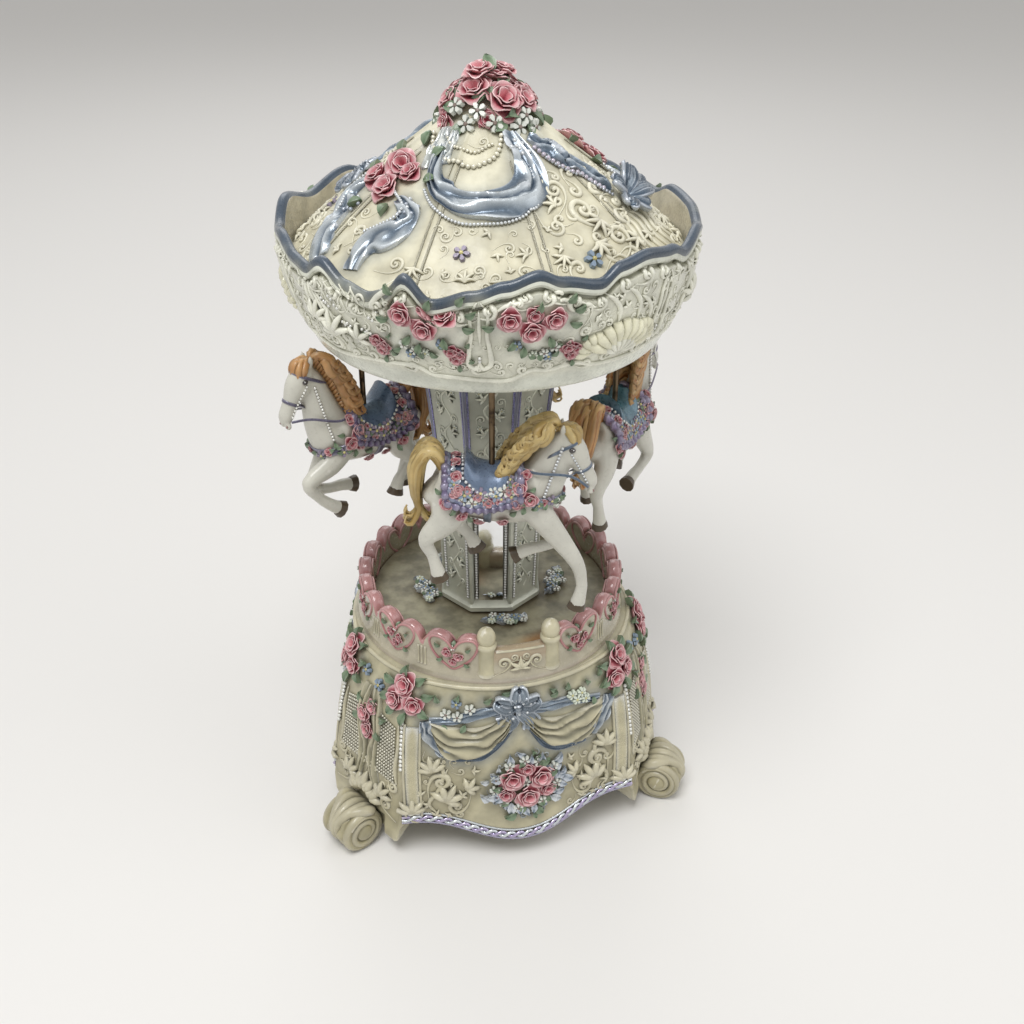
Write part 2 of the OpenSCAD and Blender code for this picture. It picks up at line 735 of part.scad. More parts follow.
module spindle_nut() {
    color(BRASS) difference() {
        union() {
            translate([0, 0, ceiling_z + ceiling_t]) cylinder(h = 0.8, r = 4.6);
            translate([0, 0, ceiling_z + ceiling_t + 0.8]) cylinder(h = 2.6, d = 6.4, $fn = 6);
        }
        translate([0, 0, ceiling_z]) cylinder(h = 12, r = spindle_r + seat / 4);
    }
}

module pole_bushes() {
    color(BRASS) pole_places() difference() {
        union() {
            translate([0, 0, ceiling_z]) cylinder(h = ceiling_t, r = pole_d / 2 + 1);
            translate([0, 0, ceiling_z - 0.8]) cylinder(h = 0.8, r = bush_flange_r);
        }
        translate([0, 0, ceiling_z - 2]) cylinder(h = ceiling_t + 4, r = pole_d / 2 + run);
    }
}

module canopy_crown() {
    steps = rim_waves * 8;
    wall = function (z) [crown_r(z), z];
    inner = function (z) [crown_r(z) - crown_t, z];
    color(RESIN) band([for (i = [0:steps - 1])
        let (w = rim_wave * cos(rim_waves * (360 * i / steps - crown_wave_angle)), top = crown_high + w)
        concat(
            [[ceiling_r + seat, ceiling_z - seat], [ceiling_r + seat, ceiling_z + ceiling_t],
             inner(crown_low + 10), [ledge_r + 0.4, ledge_z - 3], [ledge_r, ledge_z - 1.5],
             [ledge_r, ledge_z], inner(ledge_z)],
            [inner(crown_high - 5.2) + [0, w * 0.4]],
            // The rolled rim
            [[crown_high_r - 3, top - 1], [crown_high_r - 1.8, top], [crown_high_r - 0.4, top - 0.5],
             [crown_high_r, top - 1.8], [crown_high_r - 0.7, top - 3.2]],
            [for (down = [10.2, 18.2, 25.2, 29.7]) wall(crown_high - down)],
            [[crown_low_r - 0.6, crown_low], [crown_low_r - 2.4, crown_low],
             [ceiling_r - 2, ceiling_z - seat]])]);
}

// The tent's outer line, hollow near its top and full near its foot on the ledge
roof_line = [for (t = [0, 0.08, 0.18, 0.32, 0.5, 0.72, 0.88, 1])
    let (foot_z = ledge_z + 1.2)
    [mix(4.6, roof_r, t), mix(roof_top, foot_z, t) - 0.018 * (roof_top - foot_z) * sin(360 * t)]];

module roof() {
    last = len(roof_line) - 1;
    color(RESIN) {
        rotate_extrude() polygon(concat(
            [[0, roof_top], [0, roof_top - roof_t]],
            [for (i = [0:last - 1]) roof_line[i] - [0.6, roof_t]],
            [[roof_r - roof_t, ledge_z + seat / 2], [roof_r + 0.2, ledge_z + seat / 2]],
            [for (i = [last:-1:0]) roof_line[i]]));
    }
    // Raised ribs from the bouquet down to the rim
    color(RESIN) for (k = [0:roof_ribs - 1]) rotate([0, 0, rib_angle + k * 360 / roof_ribs])
        stack([for (i = [2:last])
            let (p = roof_line[i], w = 0.5 + 0.012 * p[0])
            [[p[0] - 1, 0, p[1] - 1], [p[0] - 0.6, w, p[1] - 0.7], [p[0] + 0.2, 0, p[1] + 0.7],
             [p[0] - 0.6, -w, p[1] - 0.7]]]);
}

module rose_bouquet() {
    // One rose on top and a ring of roses bedded on the roof below it
    color([0.80, 0.45, 0.50]) difference() {
        union() {
            translate([0, 0, roof_top + 2.6]) sphere(r = 6.4, $fn = 32);
            for (k = [0:5]) rotate([0, 0, front_angle + 60 * k]) translate([9.5, 0, roof_top - 2.8])
                sphere(r = 5.4, $fn = 32);
        }
        rotate_extrude() polygon(concat([[0, ledge_z], [0, roof_top + seat / 4]],
            [for (p = roof_line) p + [0, seat / 4]], [[roof_r, ledge_z]]));
    }
}

// ---- Horses ----

// Two poses: "raised" holds its head up with both forelegs tucked, "bowed" reaches down with one
raised_neck = [[-18.5, 0, -5, 2.5, 3], [-17, 0, -6, 6, 6.8], [-11, 0, -6.5, 7.6, 8.6],
    [-3, 0, -8.6, 7.6, 8.4], [5, 0, -8.4, 7.4, 8.8], [11.5, 0, -5.6, 7.2, 9], [15, 0, 0, 5.4, 7.2],
    [17, 0, 7, 4.2, 5.6],
    [18.8, 0, 13.4, 3.4, 4.6], [20.6, 0, 18, 2.6, 3.2]];
raised_head = [[18.2, 0, 19.6, 1.4, 1.6], [20.4, 0, 18.4, 3.4, 3.6], [23.6, 0, 14.4, 3.6, 4.2],
    [26.4, 0, 9.4, 2.7, 3], [28.4, 0, 5.4, 2.3, 2.4], [29.2, 0, 3, 1.4, 1.4]];
raised_mane = [[13, 0, 7.5, 1.4, 1.6], [13.4, 0, 12, 2.2, 3.4], [15.4, 0, 18, 2.4, 3.6],
    [19, 0, 22.6, 2.2, 2.6], [24, 0, 21.6, 1.8, 1.8], [26.4, 0, 18.4, 0.8, 0.8]];
bowed_neck = [[-18.5, 0, -5, 2.5, 3], [-17, 0, -6, 6, 6.8], [-11, 0, -6.5, 7.6, 8.6],
    [-3, 0, -8.6, 7.6, 8.6], [5, 0, -9.4, 7.4, 9.4], [11, 0, -8, 7.2, 9.6], [15.4, 0, -2.4, 5.6, 7.4],
    [18, 0, 3, 4.4, 5.8],
    [20, 0, 7.6, 3.4, 4.4], [21.6, 0, 10, 2.6, 3]];
bowed_head = [[19.6, 0, 11.4, 1.4, 1.6], [21.6, 0, 9.4, 3.4, 3.8], [24.4, 0, 4.6, 3.6, 4.2],
    [27.2, 0, -0.6, 2.7, 3], [29.2, 0, -4.8, 2.3, 2.4], [30, 0, -7.2, 1.4, 1.4]];
bowed_mane = [[11, 0, 4, 1.4, 1.6], [12, 0, 8.6, 2.2, 3.4], [15, 0, 13, 2.4, 3.6], [19.6, 0, 15.4, 2.2, 2.8],
    [24, 0, 13.4, 1.8, 1.8], [26.6, 0, 9.6, 0.8, 0.8]];
tail_line = [[-14.5, 0, -2.6, 2, 2], [-17.6, 0, 1.4, 2.4, 2.2], [-20.6, 0, 3.4, 2.8, 2.8],
    [-24.6, 0, -0.6, 3.6, 3.4], [-25.2, 0, -7, 3.8, 3.6],
    [-24.6, 0, -12, 2.6, 2.4], [-23, 0, -15, 0.8, 0.8]];
// Legs end in a hoof: shoulder or hip, knee or hock, fetlock, hoof
raised_legs = [
    [[11, 4, -9, 3.4, 5], [17, 4.6, -14, 2.8, 3.6], [25.4, 5, -17.6, 1.8, 2], [22.4, 5, -23.6, 1.4, 1.5],
     [19, 5, -27.4, 1.7, 1.7], [15.4, 5, -30.4, 1.9, 2]],
    [[10, -4, -9, 3.4, 5], [14, -4.6, -17, 2.8, 3.6], [18.6, -5, -25.6, 1.8, 2], [13, -5, -28.4, 1.4, 1.5],
     [8, -5, -29, 1.7, 1.7], [4, -5, -30, 1.9, 2]],
    [[-11, 3.6, -8, 3.8, 7], [-10.6, 4.4, -15.6, 3.2, 4.6], [-14.6, 4.6, -21.6, 1.9, 2.2],
     [-11.4, 4.6, -26, 1.4, 1.5], [-9, 4.6, -29, 1.7, 1.7], [-7.8, 4.6, -32, 2, 2.1]],
    [[-12, -3.6, -8, 3.8, 7], [-14, -4.4, -15.6, 3.2, 4.6], [-20, -4.6, -22.4, 1.9, 2.2],
     [-18.4, -4.6, -28, 1.4, 1.5], [-17.4, -4.6, -32, 1.7, 1.7], [-16.6, -4.6, -35.4, 2, 2.1]]];
bowed_legs = [
    [[10, 4, -10, 3.4, 5], [14, 4.6, -18, 2.8, 3.6], [19.8, 5, -28.6, 1.8, 2], [16, 5, -31.6, 1.4, 1.5],
     [12, 5, -32.6, 1.7, 1.7], [8, 5, -34.4, 1.9, 2]],
    [[11, -4, -10, 3.4, 5], [17.6, -4.6, -19, 2.8, 3.6], [25.6, -5, -31, 1.8, 2],
     [27.6, -5, -38.6, 1.4, 1.5], [27.4, -5, -43, 1.7, 1.7], [26.6, -5, -46.8, 2, 2.2]],
    [[-11, 3.6, -8, 3.8, 7], [-9.6, 4.4, -15.6, 3.2, 4.6], [-10.6, 4.6, -22, 1.9, 2.2],
     [-8, 4.6, -25.6, 1.4, 1.5], [-6.4, 4.6, -28, 1.7, 1.7], [-5.2, 4.6, -30.6, 2, 2.1]],
    [[-12, -3.6, -8, 3.8, 7], [-14, -4.4, -15.6, 3.2, 4.6], [-20, -4.6, -22.4, 1.9, 2.2],
     [-18.4, -4.6, -28, 1.4, 1.5], [-17.4, -4.6, -32, 1.7, 1.7], [-16.6, -4.6, -35.4, 2, 2.1]]];
saddle_line = [[-10, 0, 1.4, 4, 2], [-7.6, 0, 1.6, 7, 3.2], [-2, 0, -1.6, 8, 3.4], [4, 0, -1, 7.6, 3.2],
    [7.6, 0, 2, 4.8, 3], [9, 0, 2.4, 2.4, 1.6]];
// How far each horse stands turned outwards on its pole, front one first
turned_out = [0, 32, 0, 52];
bowed = [true, false, true, false];

module horse(low) {
    bore = pole_d / 2 + seat / 2;
    difference() {
        union() {
            limb(low ? bowed_neck : raised_neck, 2, 14);
            limb(low ? bowed_head : raised_head, 2, 10);
            limb(low ? bowed_mane : raised_mane, 2, 8);
            limb(tail_line, 2, 8);
            limb(saddle_line, 1, 12);
            for (leg = low ? bowed_legs : raised_legs) limb(leg, 1, 8);
        }
        translate([0, 0, -12]) cylinder(h = 30, r = bore);
    }
}

module on_pole(k) {
    rotate([0, 0, front_angle + 90 * (k - 1)]) translate([pole_circle, 0, 0])
        rotate([0, 0, 90 - turned_out[k - 1]]) children();
}

module horse_k(k) {
    color([0.94, 0.93, 0.90]) on_pole(k) translate([0, 0, seat_z]) horse(bowed[k - 1]);
}

module pole_k(k) {
    color([0.45, 0.35, 0.20]) on_pole(k) translate([0, 0, seat_z - 12])
        cylinder(h = ceiling_z + ceiling_t + 4 - seat_z + 12, r = pole_d / 2);
}

module pole_collar_k(k) {
    color(BRASS) on_pole(k) difference() {
        translate([0, 0, ceiling_z + ceiling_t + 0.1]) cylinder(h = 2.4, r = 2.2);
        translate([0, 0, ceiling_z]) cylinder(h = 10, r = pole_d / 2 + seat / 4);
    }
}

base_casting();
parapet();
gate_posts();
scroll_feet();
bottom_plate();
bottom_plate_screws();
floor_bush();
thrust_washer();
bedplate();
bedplate_screws();
cylinder_bearings();
governor_frame();
comb();
comb_screws();
winding_arbor();
winding_key();
spring_barrel();
mainspring();
crown_gear();
cylinder_arbor();
cylinder_pinion();
pinned_cylinder();
cylinder_gear();
governor_wheel();
governor_worm();
governor_fly();
drive_spindle();
column_hub();
centre_column();
mirror_strips();
canopy_ceiling();
ceiling_screws();
spindle_nut();
pole_bushes();
canopy_crown();
roof();
rose_bouquet();
for (k = [1:4]) {
    horse_k(k);
    pole_k(k);
    pole_collar_k(k);
}
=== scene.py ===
"""Wind up music box: the carousel's carved, painted and gilt pieces over its fixed frame."""
import random
from math import atan2, cos, degrees, exp, hypot, pi, radians, sin, sqrt, tan

import bmesh
import bpy
from mathutils import Matrix, Vector
from mathutils.bvhtree import BVHTree
from mathutils.kdtree import KDTree


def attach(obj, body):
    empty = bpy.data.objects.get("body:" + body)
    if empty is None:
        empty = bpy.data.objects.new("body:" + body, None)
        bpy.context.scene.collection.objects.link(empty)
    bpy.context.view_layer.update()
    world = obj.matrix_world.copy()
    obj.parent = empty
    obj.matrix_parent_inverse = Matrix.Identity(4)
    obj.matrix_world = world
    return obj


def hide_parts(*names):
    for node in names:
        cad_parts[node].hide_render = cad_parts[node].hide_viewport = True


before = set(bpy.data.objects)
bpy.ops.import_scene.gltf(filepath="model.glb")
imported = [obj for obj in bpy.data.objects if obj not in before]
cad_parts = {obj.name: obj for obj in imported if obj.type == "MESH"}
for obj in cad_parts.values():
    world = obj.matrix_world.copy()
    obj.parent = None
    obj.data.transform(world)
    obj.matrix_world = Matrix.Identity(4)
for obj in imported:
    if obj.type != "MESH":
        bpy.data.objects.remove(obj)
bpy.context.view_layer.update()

# Sizes are in millimetres until a piece is made; angles are in degrees.
MM = 0.001
FRONT = -101.4                      # where the front pole stands
STAGE, SHOULDER = 78.0, 72.0        # the stage floor, and the shoulder under the parapet
APRON, APRON_RISE, BLOCK_FOOT, BLOCK_EDGE = 8.0, 7.5, 5.5, 42.0
FOOT_R, FOOT_D, FOOT_Z = 66.5, 16.5, 7.95
PARAPET_R, PARAPET_T, PARAPET_TOP = 45.8, 4.2, 84.5
PLATE_Z, PLATE_R, CAVITY_R = 20.0, 42.0, 38.5
COLUMN_Z, NECK_Z, COLUMN_TOP = 79.2, 121.2, 182.0
CROWN_LOW, CROWN_LOW_R, CROWN_HIGH, CROWN_HIGH_R = 180.0, 53.6, 213.2, 63.2
LEDGE_Z, ROOF_R, ROOF_TOP = 204.4, 58.4, 250.0
POLE_CIRCLE, SEAT = 40.8, 150.0
FACES = (-90, 30, 150)              # the middles of the base's three faces
GOLDEN = 137.5                      # the angle between the petals and leaves of a whorl
TWIRL = 2.4                         # about the same angle in radians, for what is strewn


# ---- Curves and skins ----

def polar(r, a, z=0.0):
    a = radians(a)
    return Vector((r * cos(a), r * sin(a), z))


def mix(a, b, t):
    return a + (b - a) * t


def mixed(a, b, t):
    return tuple(mix(p, q, t) for p, q in zip(a, b))


def smooth(points, steps, loop=False):
    """Points on a Catmull-Rom curve through the given ones, which may have any number of values each"""
    n, made = len(points), []
    for i in range(n if loop else n - 1):
        a, b, c, d = (points[k % n] if loop else points[min(max(k, 0), n - 1)] for k in range(i - 1, i + 3))
        for s in range(steps):
            t = s / steps
            made.append(tuple(0.5 * (2 * q + (r - p) * t + (2 * p - 5 * q + 4 * r - s4) * t * t
                + (3 * q - p - 3 * r + s4) * t ** 3) for p, q, r, s4 in zip(a, b, c, d)))
    return made if loop else made + [tuple(points[-1])]


def at(table, x, turn=None):
    """Reads a list of (x, value) at x, smoothly; turn is its period if it goes round"""
    if turn:
        table = [(p - turn, v) for p, v in table[-2:]] + list(table) + [(p + turn, v) for p, v in table[:2]]
        x = (x - table[2][0]) % turn + table[2][0]
    for (x0, v0), (x1, v1) in zip(table, table[1:]):
        if x <= x1:
            t = min(max((x - x0) / (x1 - x0), 0), 1)
            return mix(v0, v1, t * t * (3 - 2 * t))
    return table[-1][1]


def skin(rows, around=True, ends=True, loop=False):
    """Points and faces over rows of equal length"""
    n, m = len(rows[0]), len(rows)
    faces = []
    for i in range(m if loop else m - 1):
        for j in range(n if around else n - 1):
            a, b, k = i * n, (i + 1) % m * n, (j + 1) % n
            faces.append((a + j, a + k, b + k, b + j))
    if ends and not loop:
        faces += [tuple(reversed(range(n))), tuple(range((m - 1) * n, m * n))]
    return [p for row in rows for p in row], faces


def coloured(name, points, faces, tints):
    """A mesh whose faces look outwards. tints is one colour, or a colour for each point"""
    mesh = bpy.data.meshes.new(name)
    mesh.from_pydata([Vector(p) * MM for p in points], [], faces)
    shell = bmesh.new()
    shell.from_mesh(mesh)
    bmesh.ops.recalc_face_normals(shell, faces=shell.faces)
    shell.to_mesh(mesh)
    shell.free()
    if not hasattr(tints[0], "__len__"):
        tints = [tints] * len(points)
    layer = mesh.attributes.new("tint", "FLOAT_COLOR", "POINT")
    layer.data.foreach_set("color", [v for c in tints for v in (*c, 1.0)])
    return bpy.data.objects.new(name, mesh)


def piece(name, body, slot, material, points, faces, tints, stands_for=(), crease=40):
    return finish(coloured(name, points, faces, tints), body, slot, material, stands_for, crease)


def finish(made, body, slot, material, stands_for=(), crease=40):
    if made.name not in bpy.context.scene.objects:
        bpy.context.scene.collection.objects.link(made)
    made.data.materials.clear()
    made.data.materials.append(material)
    made.data.shade_smooth()
    if crease:
        made.data.set_sharp_from_angle(angle=radians(crease))
    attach(made, body)
    if stands_for:
        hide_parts(*stands_for)
    return made


class Clay:
    """Several shapes gathered for one piece"""

    def __init__(self):
        self.points, self.faces, self.tints = [], [], []

    def add(self, points, faces, tint):
        first = len(self.points)
        self.points += [Vector(p) for p in points]
        self.faces += [tuple(i + first for i in f) for f in faces]
        self.tints += [tint] * len(points) if not hasattr(tint[0], "__len__") else list(tint)

    def made(self, name, body, slot, material, **more):
        return piece(name, body, slot, material, self.points, self.faces, self.tints, **more)


class Ground:
    """The surface that ornaments are bedded on. A place on it is an angle and a height, or an angle and a
    radius where it is a slope seen from above"""

    def __init__(self, *pieces, slope=False, least=0.0):
        self.least = least
        points, faces = [], []
        for p in pieces:
            first = len(points)
            points += [v.co / MM for v in p.data.vertices]
            faces += [tuple(i + first for i in f.vertices) for f in p.data.polygons]
        self.tree, self.slope = BVHTree.FromPolygons(points, faces), slope

    def spot(self, a, v, lift=0.0):
        if self.slope:
            p, n = self.tree.ray_cast(polar(max(v, 0.01), a, 300), Vector((0, 0, -1)))[:2]
        else:
            p, n = self.tree.ray_cast(polar(110, a, v), -polar(1, a))[:2]
        if p is None or (not self.slope and hypot(p.x, p.y) < self.least):
            return self.spot(a, v - 0.7, lift)
        return p + n * lift, n

    def near(self, a, v, x, y, lift=0.0):
        """The place x along and y up (or outwards on a slope) from another, in millimetres"""
        p, n = self.spot(a, v)
        r = max(hypot(p.x, p.y), 4)
        reach = -y * n.z if self.slope else y * max(sqrt(max(0, 1 - n.z ** 2)), 0.5)
        return self.spot(a + degrees(x / r), v + reach, lift)

    def drawn(self, a, v, line, size=1.0, turn=0.0, flip=1, lift=0.0):
        """A flat drawing laid on the surface: line holds (x, y) or (x, y, lift)"""
        c, s = cos(radians(turn)), sin(radians(turn))
        made = []
        for x, y, *up in line:
            x *= flip
            made.append(self.near(a, v, size * (x * c - y * s), size * (x * s + y * c),
                lift + size * (up[0] if up else 0)))
        return made


def ball(clay, centre, radii, tint, turn=None, sides=14, rows=8):
    ring = []
    for i in range(1, rows):
        v = pi * i / rows
        ring.append([Vector((radii[0] * sin(v) * cos(u), radii[1] * sin(v) * sin(u), -radii[2] * cos(v)))
            for u in (2 * pi * j / sides for j in range(sides))])
    points, faces = skin(ring, ends=False)
    low, high = len(points), len(points) + 1
    points += [Vector((0, 0, -radii[2])), Vector((0, 0, radii[2]))]
    faces += [(low, (j + 1) % sides, j) for j in range(sides)]
    faces += [(high, (rows - 2) * sides + j, (rows - 2) * sides + (j + 1) % sides) for j in range(sides)]
    if turn is not None:
        points = [turn @ p for p in points]
    clay.add([p + Vector(centre) for p in points], faces, tint)


# ---- Trees for what repeats, or follows a line ----

def wire(tree, kind, values=None, **settings):
    """Adds a node. Each value goes to the input of that name or number, and may be another node's output"""
    made = tree.nodes.new(kind)
    for key, value in settings.items():
        setattr(made, key, value)
    for key, value in (values or {}).items():
        if isinstance(value, bpy.types.NodeSocket):
            tree.links.new(value, made.inputs[key])
        else:
            made.inputs[key].default_value = value
    return made


def new_tree(name, **inputs):
    tree = bpy.data.node_groups.new(name, "GeometryNodeTree")
    for label, kind in [("Geometry", "Geometry"), *inputs.items(), ("Material", "Material")]:
        tree.interface.new_socket(label, in_out="INPUT", socket_type="NodeSocket" + kind)
    tree.interface.new_socket("Geometry", in_out="OUTPUT", socket_type="NodeSocketGeometry")
    return tree, wire(tree, "NodeGroupInput").outputs


def close_tree(tree, given, geometry):
    whole = wire(tree, "GeometryNodeRealizeInstances", {0: geometry}).outputs[0]
    coated = wire(tree, "GeometryNodeSetMaterial",
        {"Geometry": whole, "Material": given["Material"]}).outputs[0]
    wire(tree, "NodeGroupOutput", {0: coated})
    return tree


def layer(tree, name, kind="FLOAT"):
    return wire(tree, "GeometryNodeInputNamedAttribute", {"Name": name}, data_type=kind).outputs[0]


def shape_of(tree, given, label):
    return wire(tree, "GeometryNodeObjectInfo", {"Object": given[label]}).outputs["Geometry"]


def strand_tree():
    """Sweeps a profile along each line, as wide as the line says and facing the way it says"""
    tree, given = new_tree("strands", Profile="Object")
    line = wire(tree, "GeometryNodeMeshToCurve", {0: given["Geometry"]}).outputs[0]
    faced = wire(tree, "GeometryNodeSetCurveNormal", {0: line}, mode="FREE")
    tree.links.new(layer(tree, "outward", "FLOAT_VECTOR"), faced.inputs["Normal"])
    swept = wire(tree, "GeometryNodeCurveToMesh", {0: faced.outputs[0],
        "Profile Curve": shape_of(tree, given, "Profile"), "Scale": layer(tree, "breadth"),
        "Fill Caps": True}).outputs[0]
    return close_tree(tree, given, swept)


def beading_tree():
    """Strings beads along each line"""
    tree, given = new_tree("beading", Spacing="Float")
    line = wire(tree, "GeometryNodeMeshToCurve", {0: given["Geometry"]}).outputs[0]
    spaced = wire(tree, "GeometryNodeResampleCurve", {0: line}, mode="LENGTH")
    tree.links.new(given["Spacing"], spaced.inputs["Length"])
    bead = wire(tree, "GeometryNodeMeshIcoSphere", {"Radius": 1.0, "Subdivisions": 2}).outputs[0]
    strung = wire(tree, "GeometryNodeInstanceOnPoints", {"Points": spaced.outputs[0], "Instance": bead,
        "Scale": layer(tree, "breadth")}).outputs[0]
    return close_tree(tree, given, strung)


def spray_tree():
    """Sets a flower or a leaf on each point"""
    tree, given = new_tree("spray", Flower="Object")
    turn = wire(tree, "FunctionNodeEulerToRotation", {0: layer(tree, "turn", "FLOAT_VECTOR")}).outputs[0]
    spread = wire(tree, "GeometryNodeInstanceOnPoints", {"Points": given["Geometry"],
        "Instance": shape_of(tree, given, "Flower"), "Rotation": turn,
        "Scale": layer(tree, "breadth")}).outputs[0]
    return close_tree(tree, given, spread)


def whorl_tree():
    """Sets petals in a rose's whorl: each a golden angle on, wider, lower and further open than the last"""
    tree, given = new_tree("whorl", Petal="Object", Petals="Int", Open="Float")

    def sum_of(kind, a, b):
        return wire(tree, "ShaderNodeMath", {0: a, 1: b}, operation=kind).outputs[0]

    row = wire(tree, "GeometryNodeMeshLine", {"Count": given["Petals"], "Offset": (0, 0, 0)}).outputs[0]
    step = wire(tree, "GeometryNodeInputIndex").outputs[0]
    age = sum_of("DIVIDE", step, given["Petals"])
    lean = sum_of("MULTIPLY", sum_of("POWER", age, 1.3), given["Open"])
    turn = wire(tree, "ShaderNodeCombineXYZ", {0: lean, 1: 0.0, 2: sum_of("MULTIPLY", step, radians(GOLDEN))})
    drop = wire(tree, "ShaderNodeCombineXYZ", {2: sum_of("MULTIPLY", age, -0.12 * MM)})
    placed = wire(tree, "GeometryNodeSetPosition", {"Geometry": row, "Offset": drop.outputs[0]}).outputs[0]
    facing = wire(tree, "FunctionNodeEulerToRotation", {0: turn.outputs[0]}).outputs[0]
    grown_to = sum_of("ADD", 0.46, sum_of("MULTIPLY", sum_of("POWER", age, 0.8), 0.52))
    rose = wire(tree, "GeometryNodeInstanceOnPoints", {"Points": placed,
        "Instance": shape_of(tree, given, "Petal"), "Rotation": facing, "Scale": grown_to}).outputs[0]
    return close_tree(tree, given, rose)


def ring_tree():
    """Repeats a panel round the spindle"""
    tree, given = new_tree("ring", Panel="Object", Count="Int", First="Float", Step="Float")
    row = wire(tree, "GeometryNodeMeshLine", {"Count": given["Count"], "Offset": (0, 0, 0)}).outputs[0]
    step = wire(tree, "GeometryNodeInputIndex").outputs[0]
    turned = wire(tree, "ShaderNodeMath", {0: step, 1: given["Step"], 2: given["First"]},
        operation="MULTIPLY_ADD")
    turn = wire(tree, "ShaderNodeCombineXYZ", {2: turned.outputs[0]}).outputs[0]
    facing = wire(tree, "FunctionNodeEulerToRotation", {0: turn}).outputs[0]
    ring = wire(tree, "GeometryNodeInstanceOnPoints", {"Points": row,
        "Instance": shape_of(tree, given, "Panel"), "Rotation": facing}).outputs[0]
    return close_tree(tree, given, ring)


STRANDS, BEADING, SPRAY, WHORL, RING = strand_tree(), beading_tree(), spray_tree(), whorl_tree(), ring_tree()


def seed_mesh(points, edges=(), **layers):
    mesh = bpy.data.meshes.new("seed")
    mesh.from_pydata([Vector(p) * MM for p in points], edges, [])
    for name, values in layers.items():
        if name == "tint":
            kind, field, values = "FLOAT_COLOR", "color", [v for c in values for v in (*c, 1.0)]
        elif hasattr(values[0], "__len__"):
            kind, field, values = "FLOAT_VECTOR", "vector", [v for c in values for v in c]
        else:
            kind, field = "FLOAT", "value"
        mesh.attributes.new(name, kind, "POINT").data.foreach_set(field, values)
    return mesh


def grown(name, seed, tree, material, **inputs):
    """Runs a tree and leaves a plain mesh"""
    plant = bpy.data.objects.new(name, seed)
    bpy.context.scene.collection.objects.link(plant)
    live = plant.modifiers.new(tree.name, "NODES")
    live.node_group = tree
    for item in tree.interface.items_tree:
        value = {**inputs, "Material": material}.get(item.name)
        if item.in_out == "INPUT" and value is not None:
            live[item.identifier] = value
    bpy.context.view_layer.update()
    graph = bpy.context.evaluated_depsgraph_get()
    mesh = bpy.data.meshes.new_from_object(plant.evaluated_get(graph), preserve_all_data_layers=True,
        depsgraph=graph)
    plant.modifiers.remove(live)
    plant.data = mesh
    return plant


class Threads:
    """Lines that ribbons, scrolls, beads and hair follow"""

    def __init__(self):
        self.points, self.edges, self.out, self.breadth, self.tints = [], [], [], [], []

    def run(self, line, breadth, tint, loop=False):
        """line holds (place, outward direction); breadth is one half width or several along the line"""
        first, n = len(self.points), len(line)
        widths = breadth if hasattr(breadth, "__len__") else (breadth, breadth)
        steps = [(k / (len(widths) - 1), w) for k, w in enumerate(widths)]
        for i, (p, n_out) in enumerate(line):
            self.points.append(p)
            self.out.append(tuple(n_out))
            self.breadth.append(at(steps, i / max(n - 1, 1)) * MM)
            self.tints.append(tint)
        self.edges += [(first + i, first + i + 1) for i in range(n - 1)]
        if loop:
            self.edges.append((first + n - 1, first))

    def seed(self):
        return seed_mesh(self.points, self.edges, outward=self.out, breadth=self.breadth, tint=self.tints)

    def swept(self, name, body, slot, material, profile, **more):
        return finish(grown(name, self.seed(), STRANDS, material, Profile=profile), body, slot, material,
            **more)

    def beaded(self, name, body, slot, material, spacing):
        return finish(grown(name, self.seed(), BEADING, material, Spacing=spacing * MM), body, slot, material,
            crease=0)


class Spray:
    """Places for flowers and leaves"""

    def __init__(self):
        self.points, self.turns, self.sizes, self.tints = [], [], [], []

    def set(self, spot, size, spin=0.0, tilt=0.0):
        p, n = spot
        up = Vector((0, 0, 1)) if abs(n.z) < 0.95 else Vector((0, 1, 0))
        across = up.cross(n).normalized()
        stance = Matrix((across, n.cross(across), n)).transposed()
        turned = stance @ Matrix.Rotation(radians(spin), 3, "Z") @ Matrix.Rotation(radians(tilt), 3, "X")
        self.points.append(p)
        self.turns.append(tuple(turned.to_euler()))
        self.sizes.append(size)

    def grown(self, name, body, slot, material, flower, **more):
        seed = seed_mesh(self.points, turn=self.turns, breadth=self.sizes)
        return finish(grown(name, seed, SPRAY, material, Flower=flower), body, slot, material, **more)


PATTERNS = []


def pattern(made):
    """Keeps a shape for the trees to copy, out of the scene"""
    for collection in list(made.users_collection):
        collection.objects.unlink(made)
    PATTERNS.append(made)
    return made


def clay_pattern(name, clay):
    return pattern(coloured(name, clay.points, clay.faces, clay.tints))


def profile(name, outline):
    """A closed outline, 1 wide each way, for strands to be swept with"""
    curve = bpy.data.curves.new(name, "CURVE")
    curve.dimensions = "2D"
    spline = curve.splines.new("POLY")
    spline.points.add(len(outline) - 1)
    # A sweep takes the curve's X outwards and its Y across
    for point, (across, up) in zip(spline.points, reversed(outline)):
        point.co = (up, across, 0, 1)
    spline.use_cyclic_u = True
    return pattern(bpy.data.objects.new(name, curve))


# ---- Finishes ----

def shader(name, **uniform):
    """A material whose uniform values sit on the shader itself"""
    material = bpy.data.materials.new(name)
    material.use_nodes = True
    tree = material.node_tree
    tree.nodes.clear()
    surface = wire(tree, "ShaderNodeBsdfPrincipled", {k.replace("_", " "): v for k, v in uniform.items()})
    wire(tree, "ShaderNodeOutputMaterial", {"Surface": surface.outputs[0]})
    material.diffuse_color = (*uniform.get("Base_Color", (0.7, 0.7, 0.7))[:3], 1)
    return material, tree, surface


